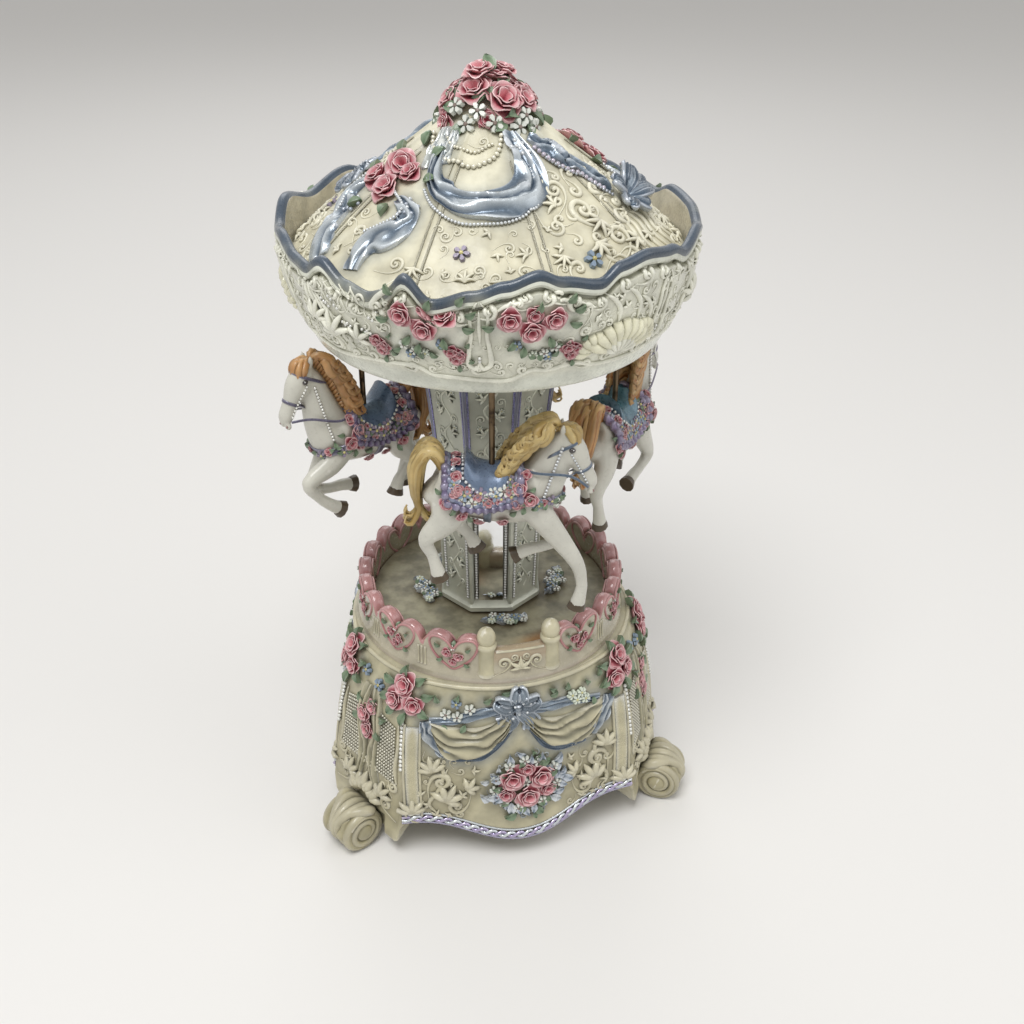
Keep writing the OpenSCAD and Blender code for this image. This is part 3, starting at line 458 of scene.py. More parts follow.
def noise(tree, scale, detail=3.0, rough=0.55, stretch=(1, 1, 1)):
    place = wire(tree, "ShaderNodeTexCoord").outputs["Object"]
    placed = wire(tree, "ShaderNodeMapping", {"Vector": place, "Scale": stretch}).outputs[0]
    return wire(tree, "ShaderNodeTexNoise", {"Vector": placed, "Scale": scale, "Detail": detail,
        "Roughness": rough}).outputs[0]


def ramp(tree, value, low, high, to_low=0.0, to_high=1.0):
    return wire(tree, "ShaderNodeMapRange", {0: value, 1: low, 2: high, 3: to_low, 4: to_high},
        interpolation_type="SMOOTHSTEP").outputs[0]


def blend(tree, amount, first, second, kind="MIX"):
    mixed = wire(tree, "ShaderNodeMix", {0: amount}, data_type="RGBA", blend_type=kind)
    for socket, value in ((mixed.inputs[6], first), (mixed.inputs[7], second)):
        if isinstance(value, bpy.types.NodeSocket):
            tree.links.new(value, socket)
        else:
            socket.default_value = (*value, 1)
    return mixed.outputs[2]


def bump(tree, surface, height, strength, distance):
    raised = wire(tree, "ShaderNodeBump", {"Height": height, "Strength": strength, "Distance": distance * MM})
    tree.links.new(raised.outputs[0], surface.inputs["Normal"])


def painted(name, wash_and_shade=(0.20, 0.15, 0.10), hollows=0.55, reach=1.6, rough=(0.28, 0.5), mottle=0.16, lump=0.10,
        metal=0.0, coat=0.25, highlight=(1.0, 0.98, 0.92), edge=0.18, colour=None):
    """Paint brushed over cast resin: uneven, darker in the hollows as painted shade along with the paint's
    wash, and paler along the sharp edges as a painted highlight. It takes one colour, or each piece's own
    tints"""
    material, tree, surface = shader(name, Metallic=metal, Coat_Weight=coat, Coat_Roughness=0.12)
    tint = colour or wire(tree, "ShaderNodeAttribute", attribute_name="tint").outputs["Color"]
    broad, fine = noise(tree, 140), noise(tree, 900, 4, 0.6)
    shade = ramp(tree, broad, 0.3, 0.7, 1 - mottle, 1 + mottle * 0.35)
    cloudy = blend(tree, 1.0, tint, wire(tree, "ShaderNodeCombineColor",
        {0: shade, 1: shade, 2: shade}).outputs[0], "MULTIPLY")
    # Ambient occlusion darkens the hollows toward the wash colour: painted shade, along with the paint's own
    # wash
    open_to = wire(tree, "ShaderNodeAmbientOcclusion", {"Distance": reach * MM}, samples=6).outputs["AO"]
    hollow = ramp(tree, open_to, 0.25, 0.95, hollows, 0.0)
    washed_and_shaded = blend(tree, hollow, cloudy, wash_and_shade)
    # Sharp edges are lightened toward the highlight colour: a painted highlight
    sharp = wire(tree, "ShaderNodeNewGeometry").outputs["Pointiness"]
    edge_highlighted = blend(tree, ramp(tree, sharp, 0.52, 0.62, 0.0, edge), washed_and_shaded, highlight)
    tree.links.new(edge_highlighted, surface.inputs["Base Color"])
    tree.links.new(ramp(tree, fine, 0.3, 0.7, *rough), surface.inputs["Roughness"])
    bump(tree, surface, fine, 0.35, lump)
    return material


def metal(name, colour, tarnish, rough=(0.25, 0.45), amount=0.35, scale=260, stretch=(1, 1, 1)):
    """Turned or rolled metal with a film of tarnish in patches"""
    material, tree, surface = shader(name, Metallic=1.0)
    patch = noise(tree, scale, 5, 0.65, stretch)
    tree.links.new(blend(tree, ramp(tree, patch, 0.42, 0.68, 0.0, amount), colour, tarnish),
        surface.inputs["Base Color"])
    tree.links.new(ramp(tree, patch, 0.3, 0.7, *rough), surface.inputs["Roughness"])
    bump(tree, surface, noise(tree, 1800, 2), 0.15, 0.03)
    return material


def plastic(name, colour, rough=(0.4, 0.55), grain=700):
    material, tree, surface = shader(name)
    speck = noise(tree, grain, 4)
    tree.links.new(blend(tree, ramp(tree, speck, 0.35, 0.65, 0.0, 0.18), colour,
        tuple(c * 0.7 for c in colour)), surface.inputs["Base Color"])
    tree.links.new(ramp(tree, speck, 0.3, 0.7, *rough), surface.inputs["Roughness"])
    bump(tree, surface, speck, 0.25, 0.05)
    return material


CREAM, IVORY, PEARL = (0.53, 0.49, 0.33), (0.74, 0.71, 0.55), (0.84, 0.84, 0.72)
MILK, SHELL = (0.60, 0.59, 0.52), (0.42, 0.38, 0.235)
BLUE, SILVER = (0.025, 0.05, 0.085), (0.60, 0.64, 0.67)
ROSE, DEEP_ROSE, PINK = (0.66, 0.25, 0.28), (0.34, 0.05, 0.08), (0.70, 0.45, 0.46)
LEAF, DARK_LEAF, BEIGE = (0.09, 0.16, 0.08), (0.025, 0.05, 0.03), (0.31, 0.29, 0.20)
WHITE, DARK, PURPLE = (0.76, 0.77, 0.73), (0.035, 0.028, 0.025), (0.20, 0.13, 0.28)
RUST, OLIVE_SHADE_WASH, SHADOW_GREY = (0.34, 0.15, 0.03), (0.30, 0.27, 0.17), (0.26, 0.29, 0.29)

resin = painted("cream painted resin", wash_and_shade=(0.15, 0.14, 0.09), hollows=0.75, reach=2.2, mottle=0.2, lump=0.2,
    edge=0.3)
canopy_paint = painted("pearl painted canopy", wash_and_shade=(0.28, 0.28, 0.19), hollows=0.65, rough=(0.2, 0.4),
    coat=0.3, reach=2.0, mottle=0.2, lump=0.2, edge=0.12)
roof_paint = painted("cream painted roof", wash_and_shade=(0.22, 0.20, 0.12), hollows=0.7, rough=(0.34, 0.55),
    coat=0.12, reach=2.2, mottle=0.2, lump=0.2, edge=0.3)
column_paint = painted("silver washed column", wash_and_shade=(0.12, 0.13, 0.10), hollows=0.75, rough=(0.3, 0.5),
    metal=0.25, reach=2.0)
# The stage's darkening in the hollows reaches 8 mm, so painted shade gathers along the feet of the column and
# the parapet
stage_paint = painted("aged stage", wash_and_shade=(0.12, 0.085, 0.04), hollows=0.7, reach=8, mottle=0.45,
    rough=(0.45, 0.7), coat=0.05)
rose_paint = painted("rose paint", wash_and_shade=DEEP_ROSE, hollows=0.9, reach=1.6, mottle=0.15,
    highlight=(0.95, 0.72, 0.70), edge=0.35)
leaf_paint = painted("leaf paint", wash_and_shade=DARK_LEAF, hollows=0.7, reach=1.3, highlight=(0.6, 0.66, 0.5))
ribbon_paint = painted("satin blue paint", wash_and_shade=(0.05, 0.08, 0.13), hollows=0.6, rough=(0.16, 0.34),
    metal=0.35, coat=0.4, highlight=(0.9, 0.94, 1.0), edge=0.5)
silver_paint = painted("silver and lavender trim", wash_and_shade=(0.07, 0.06, 0.12), hollows=0.7, rough=(0.16, 0.3),
    metal=0.75, coat=0.3, reach=0.8)
horse_paint = painted("white horse paint", wash_and_shade=(0.24, 0.21, 0.17), hollows=0.7, reach=3.2, mottle=0.08,
    rough=(0.25, 0.42))
hoof_paint = painted("dark hoof paint", wash_and_shade=(0.02, 0.015, 0.01), highlight=(0.20, 0.15, 0.10),
    rough=(0.3, 0.5), coat=0.1)
hair_paint = painted("hair paint", wash_and_shade=(0.12, 0.06, 0.02), hollows=0.7, reach=1.0, mottle=0.25,
    highlight=(0.90, 0.76, 0.46), edge=0.3)
cloth_paint = painted("saddle cloth paint", wash_and_shade=(0.05, 0.05, 0.10), hollows=0.65, rough=(0.22, 0.42),
    metal=0.25, coat=0.35, highlight=(0.8, 0.8, 0.9), edge=0.25, mottle=0.3)
eye_gloss = painted("eye gloss", wash_and_shade=(0.02, 0.02, 0.02), hollows=0.2, rough=(0.05, 0.1), coat=0.9, edge=0.0)
pearl_paint = painted("pearl beads", wash_and_shade=(0.35, 0.33, 0.30), hollows=0.6, reach=0.7, rough=(0.1, 0.22),
    coat=0.8, metal=0.2)
brass = metal("brass", (0.66, 0.50, 0.24), (0.30, 0.20, 0.09))
pole_brass = metal("tarnished pole brass", (0.16, 0.115, 0.07), (0.035, 0.025, 0.018), rough=(0.35, 0.6),
    amount=0.85)
steel = metal("bright steel", (0.60, 0.61, 0.63), (0.34, 0.33, 0.32), amount=0.2)
blued_steel = metal("blued spring steel", (0.10, 0.13, 0.20), (0.22, 0.20, 0.17), amount=0.3)
zinc = metal("die-cast zinc", (0.62, 0.63, 0.63), (0.42, 0.42, 0.41), rough=(0.45, 0.65), scale=420)
parapet_paint = painted("pink glazed parapet", wash_and_shade=(0.20, 0.12, 0.08), hollows=0.7, reach=2.2,
    rough=(0.14, 0.3), coat=0.6, highlight=(1, 0.9, 0.88), edge=0.3)
ceiling_paint = painted("painted ceiling", wash_and_shade=(0.30, 0.34, 0.28), colour=PEARL)
mirror_glass = metal("mirror strip", (0.86, 0.87, 0.88), (0.62, 0.62, 0.60), rough=(0.02, 0.08), amount=0.25,
    scale=90)
nylon = plastic("natural nylon", (0.80, 0.80, 0.76))
plate_black = plastic("black fibre plate", (0.035, 0.032, 0.03), (0.55, 0.75))

COATS = {node: coat for coat, nodes in (
    (plate_black, "bottom_plate"),
    (steel, "bottom_plate_screws bedplate_screws comb comb_screws winding_arbor cylinder_arbor "
            "governor_worm drive_spindle ceiling_screws"),
    (brass, "floor_bush cylinder_bearings governor_frame winding_key spring_barrel crown_gear "
            "cylinder_pinion pinned_cylinder cylinder_gear governor_wheel column_hub spindle_nut "
            "pole_bushes"),
    (nylon, "thrust_washer governor_fly"),
    (zinc, "bedplate"),
    (blued_steel, "mainspring"),
    (mirror_glass, "mirror_strips"),
    (ceiling_paint, "canopy_ceiling")) for node in nodes.split()}


def coat_frame():
    """Gives each fixed node its own finish"""
    for name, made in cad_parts.items():
        material = COATS.get(name, pole_brass if name.startswith("pole_") else resin)
        if name.startswith("pole_collar"):
            material = brass
        made.data.materials.clear()
        made.data.materials.append(material)


# ---- Shapes that are used again and again ----

ribbon_band = profile("ribbon band", [(-1, -0.3), (1, -0.3), (1, 0.05), (0.6, 0.28), (0, 0.16), (-0.6, 0.28),
    (-1, 0.05)])
carved_bead = profile("carved bead", [(-1, -0.6), (1, -0.6), (0.95, 0.1), (0.62, 0.62), (0, 0.85),
    (-0.62, 0.62), (-0.95, 0.1)])
cloth_folds = profile("cloth folds", [(-1, -0.5), (1, -0.5), (0.98, 0.2), (0.72, 0.6), (0.42, 0.1), (0, 0.66),
    (-0.42, 0.1), (-0.72, 0.6), (-0.98, 0.2)])
hair_lock = profile("hair lock", [(r * cos(pi * k / 5), r * sin(pi * k / 5))
    for k, r in enumerate([1, 0.68] * 5)])


def petal():
    """One petal, standing up, with a cupped face and a lip that rolls outwards"""
    clay, rows, tints = Clay(), [], []
    # Each petal runs from deep rose at its foot to pale pink at its lip: painted shade deep in the rose's
    # whorl, over the rose's own colour
    for wide, out, high, tint in ((0.26, 0.04, 0, DEEP_ROSE), (0.56, 0.3, 0.34, ROSE), (0.7, 0.42, 0.7, ROSE),
            (0.46, 0.62, 0.92, PINK)):
        for thick in (0, 0.09):
            row = [(wide * u, -out - thick + 0.34 * u * u, high - 0.06 * u * u)
                for u in (-1, -0.5, 0, 0.5, 1)]
            rows.append(row if not thick else row[::-1])
        tints += [tint] * 10
    loops = [rows[k] + rows[k + 1] for k in range(0, 8, 2)]
    points, faces = skin(loops)
    clay.add(points, faces, tints)
    return clay_pattern("petal", clay)


def blossom(name, petals, colour, heart, wide=0.34):
    """A flat little flower"""
    clay = Clay()
    for k in range(petals):
        turn = Matrix.Rotation(2 * pi * k / petals, 3, "Z")
        ring = [(0.1, -0.12, 0), (0.6, -wide, 0), (0.94, -wide * 0.6, 0), (0.94, wide * 0.6, 0),
            (0.6, wide, 0), (0.1, 0.12, 0)]
        top = [turn @ Vector((mix(x, 0.6, 0.25), y * 0.7, 0.26)) for x, y, _ in ring]
        clay.add(*skin([[turn @ Vector((x, y, -0.2)) for x, y, _ in ring], top]), colour)
    ball(clay, (0, 0, 0.22), (0.26, 0.26, 0.2), heart, sides=6, rows=4)
    return clay_pattern(name, clay)


def leaf(name, colour, wide=0.34):
    """A leaf that points along y, with a sunken vein"""
    clay, rows = Clay(), []
    for t, w in ((0, 0.06), (0.22, wide * 0.8), (0.5, wide), (0.78, wide * 0.62), (1, 0.03)):
        rise = 0.2 * sin(pi * t)
        rows.append([(w, t, 0.14 + rise), (0, t, 0.04 + rise), (-w, t, 0.14 + rise), (0, t, -0.22)])
    clay.add(*skin(rows), colour)
    return clay_pattern(name, clay)


# ---- The three sided base ----

def off_face(a):
    return (a + 90 + 60) % 120 - 60


def from_gate(a):
    return (a + 90 + 180) % 360 - 180


def edge_z(a):
    off = abs(off_face(a))
    if off > BLOCK_EDGE + 2:
        return BLOCK_FOOT
    apron = APRON + APRON_RISE * sin(radians(min(off, BLOCK_EDGE) * 90 / BLOCK_EDGE)) ** 2
    return mix(apron, BLOCK_FOOT, max(0, (off - BLOCK_EDGE) / 2))


def base_r(a, z):
    off = off_face(a)
    foot = min(47 / cos(radians(off)), 60.5 / cos(radians(60 - abs(off))))
    s = sqrt(min(max((SHOULDER - z) / (SHOULDER - APRON), 0), 1))
    bow = 8 * max(0, cos(radians(off * 2.1))) ** 2
    return mix(48, foot + bow * s, s)


def stained(tint, a):
    """Rust that has run down by the gate"""
    off = from_gate(a)
    amount = 0.85 * exp(-((off - 17) / 12) ** 2) + 0.7 * exp(-((off + 24) / 8) ** 2)
    return mixed(tint, RUST, amount)


def base_shell():
    """The casting: its bowed faces, corner blocks, stage, and the hollows for the plate and the movement"""
    turns = [k * 1.25 for k in range(288)]
    rows, tints = [], []

    def row(tint, place, stain=False):
        rows.append([place(a) for a in turns])
        tints.extend([stained(tint, a) if stain else tint for a in turns])

    def inner_foot(a):
        return polar(PLATE_R + 0.1, a, mix(edge_z(a), APRON + APRON_RISE - 1, 0.7))

    row(BEIGE, lambda a: polar(PLATE_R + 0.1, a, PLATE_Z + 2.6))
    row(BEIGE, inner_foot)
    for t in [0, 0.006, 0.02] + [0.04 + 0.024 * k for k in range(41)]:
        def outer(a, t=t):
            z = mix(edge_z(a), SHOULDER, t)
            r = base_r(a, z) - 0.8 * max(0, 1 - t / 0.006)
            # The foot's scroll is let into the corner block
            if abs(off_face(a)) > 50 and (r - FOOT_R) ** 2 + (z - FOOT_Z) ** 2 < (FOOT_D / 2 + 0.1) ** 2:
                r = FOOT_R - sqrt((FOOT_D / 2 + 0.1) ** 2 - (z - FOOT_Z) ** 2)
            return polar(r, a, z)
        row(CREAM, outer)
    ring = PARAPET_R - PARAPET_T - 0.1
    for r, z, tint in ((ring + 2, SHOULDER, CREAM), (ring, SHOULDER, BEIGE), (ring, STAGE - 0.3, BEIGE),
            (ring - 0.3, STAGE, BEIGE), (38, STAGE, BEIGE), (34, STAGE, BEIGE), (30, STAGE, BEIGE),
            (26, STAGE, BEIGE), (20, STAGE, BEIGE), (12, STAGE, BEIGE), (7, STAGE, BEIGE),
            (7, STAGE - 1, BEIGE), (5, STAGE - 1, BEIGE), (5, STAGE - 4, BEIGE), (CAVITY_R, STAGE - 4, BEIGE),
            (CAVITY_R, PLATE_Z + 2.6, BEIGE)):
        row(tint, lambda a, r=r, z=z: polar(r, a, z), ring >= r > 33)
    points, faces = skin(rows, ends=False, loop=True)
    made = piece("base_shell", "base", "cream_resin", resin, points, faces, tints,
        stands_for=["base_casting"])
    made.data.materials.append(stage_paint)
    for face in made.data.polygons:
        if face.center.z > (SHOULDER + 1) * MM:
            face.material_index = 1
    return made


# ---- The canopy and its roof ----

# The rim's height at chosen angles from the front pole; it rises and falls freely round the canopy
RIM = [(-180, 214.5), (-172, 215), (-160, 216), (-150, 213), (-142, 213.4), (-132, 216.5), (-115, 212.9),
       (-97, 217.4), (-84, 213), (-72, 215.4), (-61, 212.5), (-54, 211.6), (-47, 215.7), (-39, 211.2),
       (-32, 209.6), (-27, 211.2), (-21.7, 216.4), (-15, 210.2), (-5, 213), (3, 215.6), (11, 218.2),
       (17, 215.8), (27, 213.8), (33, 217.4), (41, 218.6), (52, 217), (60, 214), (72, 216.5), (84, 213),
       (96, 215.2), (110, 215.8),
       (119, 212.3), (130, 214), (141, 216.5), (150, 213), (162, 215.5), (172, 212.5)]


def rim_z(rel):
    return at(RIM, rel, 360)


def crown_r(z):
    t = min(max((z - CROWN_LOW) / (CROWN_HIGH - CROWN_LOW), 0), 1)
    return mix(CROWN_LOW_R, CROWN_HIGH_R, 1 - (1 - t) ** 1.7)


def crown_wall():
    """The canopy's wall: its foot and lining, the rim, and its face"""
    turns = range(360)
    tops = [rim_z((rel + 180) % 360 - 180) for rel in turns]
    rows, tints = [], []

    def row(tint, places):
        rows.append([polar(r, FRONT + rel, z) for rel, (r, z) in zip(turns, places)])
        tints.extend([tint] * len(turns))

    def level(tint, *places):
        for place in places:
            row(tint, [place] * len(turns))

    def under_rim(tint, *places):
        for r, down in places:
            row(tint, [(r, top - down) for top in tops])

    inside, lip, groove_shade = (0.60, 0.55, 0.43), (0.74, 0.76, 0.66), (0.30, 0.32, 0.28)
    level(PEARL, (49, 179.9), (51.1, 179.9), (51.1, 185.2), (53.4, 190))
    level(inside, (ROOF_R - 1.4, LEDGE_Z - 3), (ROOF_R - 1.8, LEDGE_Z - 1.5), (ROOF_R - 1.8, LEDGE_Z),
        (59.0, LEDGE_Z), (59.8, 208))
    under_rim(inside, (60.0, 2.6), (60.1, 1.5))
    under_rim(BLUE, (60.2, 1.4), (60.5, 0.6), (61.1, 0.12), (61.9, 0), (62.6, 0.2), (63.1, 0.8), (63.2, 1.6),
        (63.0, 2.3), (62.9, 2.6))
    under_rim(lip, (62.95, 2.7), (63.1, 3.5), (62.6, 4.3))
    # A dark band in the recess under the lip: painted shadow
    under_rim(groove_shade, (61.2, 4.7))
    under_rim(PEARL, (61.3, 5.4))
    for t in [k / 15 for k in range(16)]:
        row(PEARL, [(crown_r(z), z) for z in (mix(top - 6, 187, t) for top in tops)])
    level(lip, *((crown_r(z), z) for z in (185, 183, 181.4)), (CROWN_LOW_R - 0.3, 180.4),
        (CROWN_LOW_R - 0.9, 180), (CROWN_LOW_R - 2.4, 180))
    points, faces = skin(rows, ends=False, loop=True)
    return piece("crown_wall", "carousel", "canopy_resin", canopy_paint, points, faces, tints,
        stands_for=["canopy_crown"])


def roof_line(t):
    foot = LEDGE_Z + 1.2
    return mix(4.6, ROOF_R, t), mix(ROOF_TOP, foot, t) - 0.018 * (ROOF_TOP - foot) * sin(radians(360 * t))


RIBS = [-23 + 40 * k for k in range(9)]


def tent_roof():
    """The tent, with seams that run down it and a slight sag between them"""
    turns = [k * 1.25 for k in range(288)]
    rows = [[polar(0.1, a, ROOF_TOP - 2.4) for a in turns]]
    steps = [k / 24 for k in range(25)]
    for t in reversed(steps):
        r, z = roof_line(t)
        rows.append([polar(max(r - 1.2, 1), FRONT + a, max(z - 2.2, LEDGE_Z + 0.06)) for a in turns])
    rows = rows[:1] + rows[:0:-1]
    for t in reversed(steps):
        r, z = roof_line(t)
        row = []
        for a in turns:
            near = min(abs((a - rib + 180) % 360 - 180) for rib in RIBS)
            seam = exp(-(radians(near) * r / 0.55) ** 2)
            sag = 0.5 * sin(pi * min(near / 20, 1)) * min(1, 4 * t) * min(1, 4 * (1 - t))
            row.append(polar(r, FRONT + a, z + 0.75 * seam * min(1, 3 * t) - sag))
        rows.append(row)
    rows.append([polar(0.1, a, ROOF_TOP) for a in turns])
    points, faces = skin(rows)
    return piece("tent_roof", "carousel", "canopy_resin", roof_paint, points, faces, IVORY,
        stands_for=["roof"])


# ---- The column ----

def column_r(z):
    """Half its width across the flats"""
    if z < NECK_Z:
        return mix(16.25, 17.5, (z - COLUMN_Z) / (NECK_Z - COLUMN_Z))
    t = (z - NECK_Z) / (COLUMN_TOP - 1.5 - NECK_Z)
    return (35 + 11 * min(t, 1) ** 1.6) / 2


def column_panels():
    """Eight flats, each with a raised border round an embossed field; every second one has a mirror strip"""
    flats, across = 8, [-1, -0.93, -0.86, -0.8, -0.4, 0, 0.4, 0.8, 0.86, 0.93]
    heights = [COLUMN_Z, COLUMN_Z + 1.6, COLUMN_Z + 2.4] + [COLUMN_Z + 3.5 + k * 2.4
        for k in range(41)] + [COLUMN_TOP - 0.8, COLUMN_TOP]
    rows, tints = [], []
    half = tan(radians(22.5))
    for z in heights:
        row, w = [], column_r(z)
        for k in range(flats):
            mirrored = k % 2 == 0 and COLUMN_Z + 3.5 < z < COLUMN_Z + 48
            for x in across:
                sunk = 0.5 if abs(x) < 0.9 and COLUMN_Z + 3 < z < COLUMN_TOP - 2 else 0
                if abs(x) < 0.83 and mirrored:
                    sunk = 1.3
                plinth = 0.8 if z < COLUMN_Z + 2 else 0
                p = Vector((w - sunk + plinth, x * w * half, z))
                row.append(Matrix.Rotation(radians(FRONT + 45 * k), 3, "Z") @ p)
                edge = (0.24, 0.25, 0.34) if z > NECK_Z + 12 and abs(x) > 0.9 else (0.56, 0.58, 0.49)
                tints.append((0.12, 0.10, 0.09) if sunk > 1 else edge)
        rows.append(row)
    points, faces = skin(rows)
    return piece("column_panels", "carousel", "column_resin", column_paint, points, faces, tints,
        stands_for=["centre_column"], crease=30)


# ---- The horses ----

# Down each leg: how far out it stands, then its half width and half depth
FORELEG = ((4, 3.4, 5), (4.6, 2.8, 3.6), (5, 1.8, 2), (5, 1.3, 1.4), (5, 1.6, 1.6), (5, 1.9, 2))
HINDLEG = ((3.6, 3.8, 7), (4.4, 3.2, 4.6), (4.6, 1.9, 2.2), (4.6, 1.3, 1.4), (4.6, 1.6, 1.6), (4.6, 2, 2.1))


def leg(girths, side, *path, hoof=None):
    """path holds (forward, up) from the shoulder or the haunch down to the hoof"""
    made = [(x, side * out, z, wide, deep) for (x, z), (out, wide, deep) in zip(path, girths)]
    return made[:-1] + [(*made[-1][:3], *(hoof or made[-1][3:]))]


# A limb's control points: forward, sideways and up from the seat, then half width and half depth
RAISED = {
    "neck": [(-18.5, 0, -5, 2.5, 3), (-17, 0, -6, 6, 6.8), (-11, 0, -6.5, 7.6, 8.6), (-3, 0, -8.6, 7.4, 8.4),
             (5, 0, -8.4, 7.4, 8.8), (11.5, 0, -5.6, 7.2, 9), (15, 0, 0, 5.2, 7.2), (17, 0, 7, 4, 5.6),
             (18.8, 0, 13.4, 3.2, 4.6), (20.6, 0, 18, 2.6, 3.2)],
    "head": [(18.2, 0, 19.6, 1.4, 1.6), (20.4, 0, 18.4, 3.2, 3.6), (23.6, 0, 14.4, 3.3, 4.1),
             (26.4, 0, 9.4, 2.3, 2.7), (28.4, 0, 5.4, 2.3, 2.5), (29.2, 0, 3, 1.4, 1.4)],
    "crest": [(9.5, 1.5), (10.5, 6), (11.5, 10.5), (13.3, 14.5), (15.2, 18.2), (17.4, 21)],
    "legs": [leg(FORELEG, 1, (11, -9), (17, -14), (25.4, -17.6), (22.4, -23.6), (19, -27.4), (15.4, -30.4)),
             leg(FORELEG, -1, (10, -9), (14, -17), (18.6, -25.6), (13, -28.4), (8, -29), (4, -30)),
             leg(HINDLEG, 1, (-11, -8), (-10.6, -15.6), (-14.6, -21.6), (-11.4, -26), (-9, -29), (-7.8, -32)),
             leg(HINDLEG, -1, (-12, -8), (-14, -15.6), (-20, -22.4), (-18.4, -28), (-17.4, -32),
                 (-16.6, -35.4))]}
BOWED = {
    "neck": [(-18.5, 0, -5, 2.5, 3), (-17, 0, -6, 6, 6.8), (-11, 0, -6.5, 7.6, 8.6), (-3, 0, -8.6, 7.4, 8.6),
             (5, 0, -9.4, 7.4, 9.4), (11, 0, -8, 7.2, 9.6), (15.4, 0, -2.4, 5.4, 7.4), (18, 0, 3, 4.2, 5.8),
             (20, 0, 7.6, 3.2, 4.4), (21.6, 0, 10, 2.6, 3)],
    "head": [(19.6, 0, 11.4, 1.4, 1.6), (21.6, 0, 9.4, 3.2, 3.8), (24.4, 0, 4.6, 3.3, 4.1),
             (27.2, 0, -0.6, 2.3, 2.7), (29.2, 0, -4.8, 2.3, 2.5), (30, 0, -7.2, 1.4, 1.4)],
    "crest": [(7.5, -0.5), (9, 3.5), (11, 7), (13.4, 10), (16, 12.4), (18.6, 13.6)],
    "legs": [leg(FORELEG, 1, (10, -10), (14, -18), (19.8, -28.6), (16, -31.6), (12, -32.6), (8, -34.4)),
             leg(FORELEG, -1, (11, -10), (17.6, -19), (25.6, -31), (27.6, -38.6), (27.4, -43), (26.6, -46.8),
                 hoof=(2, 2.2)),
             leg(HINDLEG, 1, (-11, -8), (-9.6, -15.6), (-10.6, -22), (-8, -25.6), (-6.4, -28), (-5.2, -30.6)),
             leg(HINDLEG, -1, (-12, -8), (-14, -15.6), (-20, -22.4), (-18.4, -28), (-17.4, -32),
                 (-16.6, -35.4))]}


# The legs are this much stouter than drawn, from the shoulder to the hoof
LEG_SWELL = (1, 1.08, 1.22, 1.34, 1.26, 1.16)
TRUNK = -7                          # the height of the trunk's middle under the seat
BLANKET, SADDLE = (-13.6, 8.6), (-8.6, 5.4)    # from the rump to the withers


def limb(clay, points, steps=4, sides=18, tint=MILK):
    p = smooth(points, steps)
    rows = []
    for i, (x, y, z, wide, deep) in enumerate(p):
        a, b = p[max(i - 1, 0)], p[min(i + 1, len(p) - 1)]
        t = atan2(b[2] - a[2], b[0] - a[0])
        rows.append([(x - deep * cos(u) * sin(t), y - wide * sin(u), z + deep * cos(u) * cos(t))
            for u in (2 * pi * j / sides for j in range(sides))])
    clay.add(*skin(rows), tint)


def modelled(name, clay, voxel, passes):
    """Melts overlapping shapes into one smooth body"""
    mesh = bpy.data.meshes.new(name)
    mesh.from_pydata([p * MM for p in clay.points], [], clay.faces)
    body = bpy.data.objects.new(name, mesh)
    bpy.context.scene.collection.objects.link(body)
    melt = body.modifiers.new("melt", "REMESH")
    melt.mode, melt.voxel_size = "VOXEL", voxel * MM
    ease = body.modifiers.new("ease", "SMOOTH")
    ease.factor, ease.iterations = 0.5, passes
    bpy.context.view_layer.update()
    graph = bpy.context.evaluated_depsgraph_get()
    done = bpy.data.meshes.new_from_object(body.evaluated_get(graph))
    bpy.data.objects.remove(body)
    return done


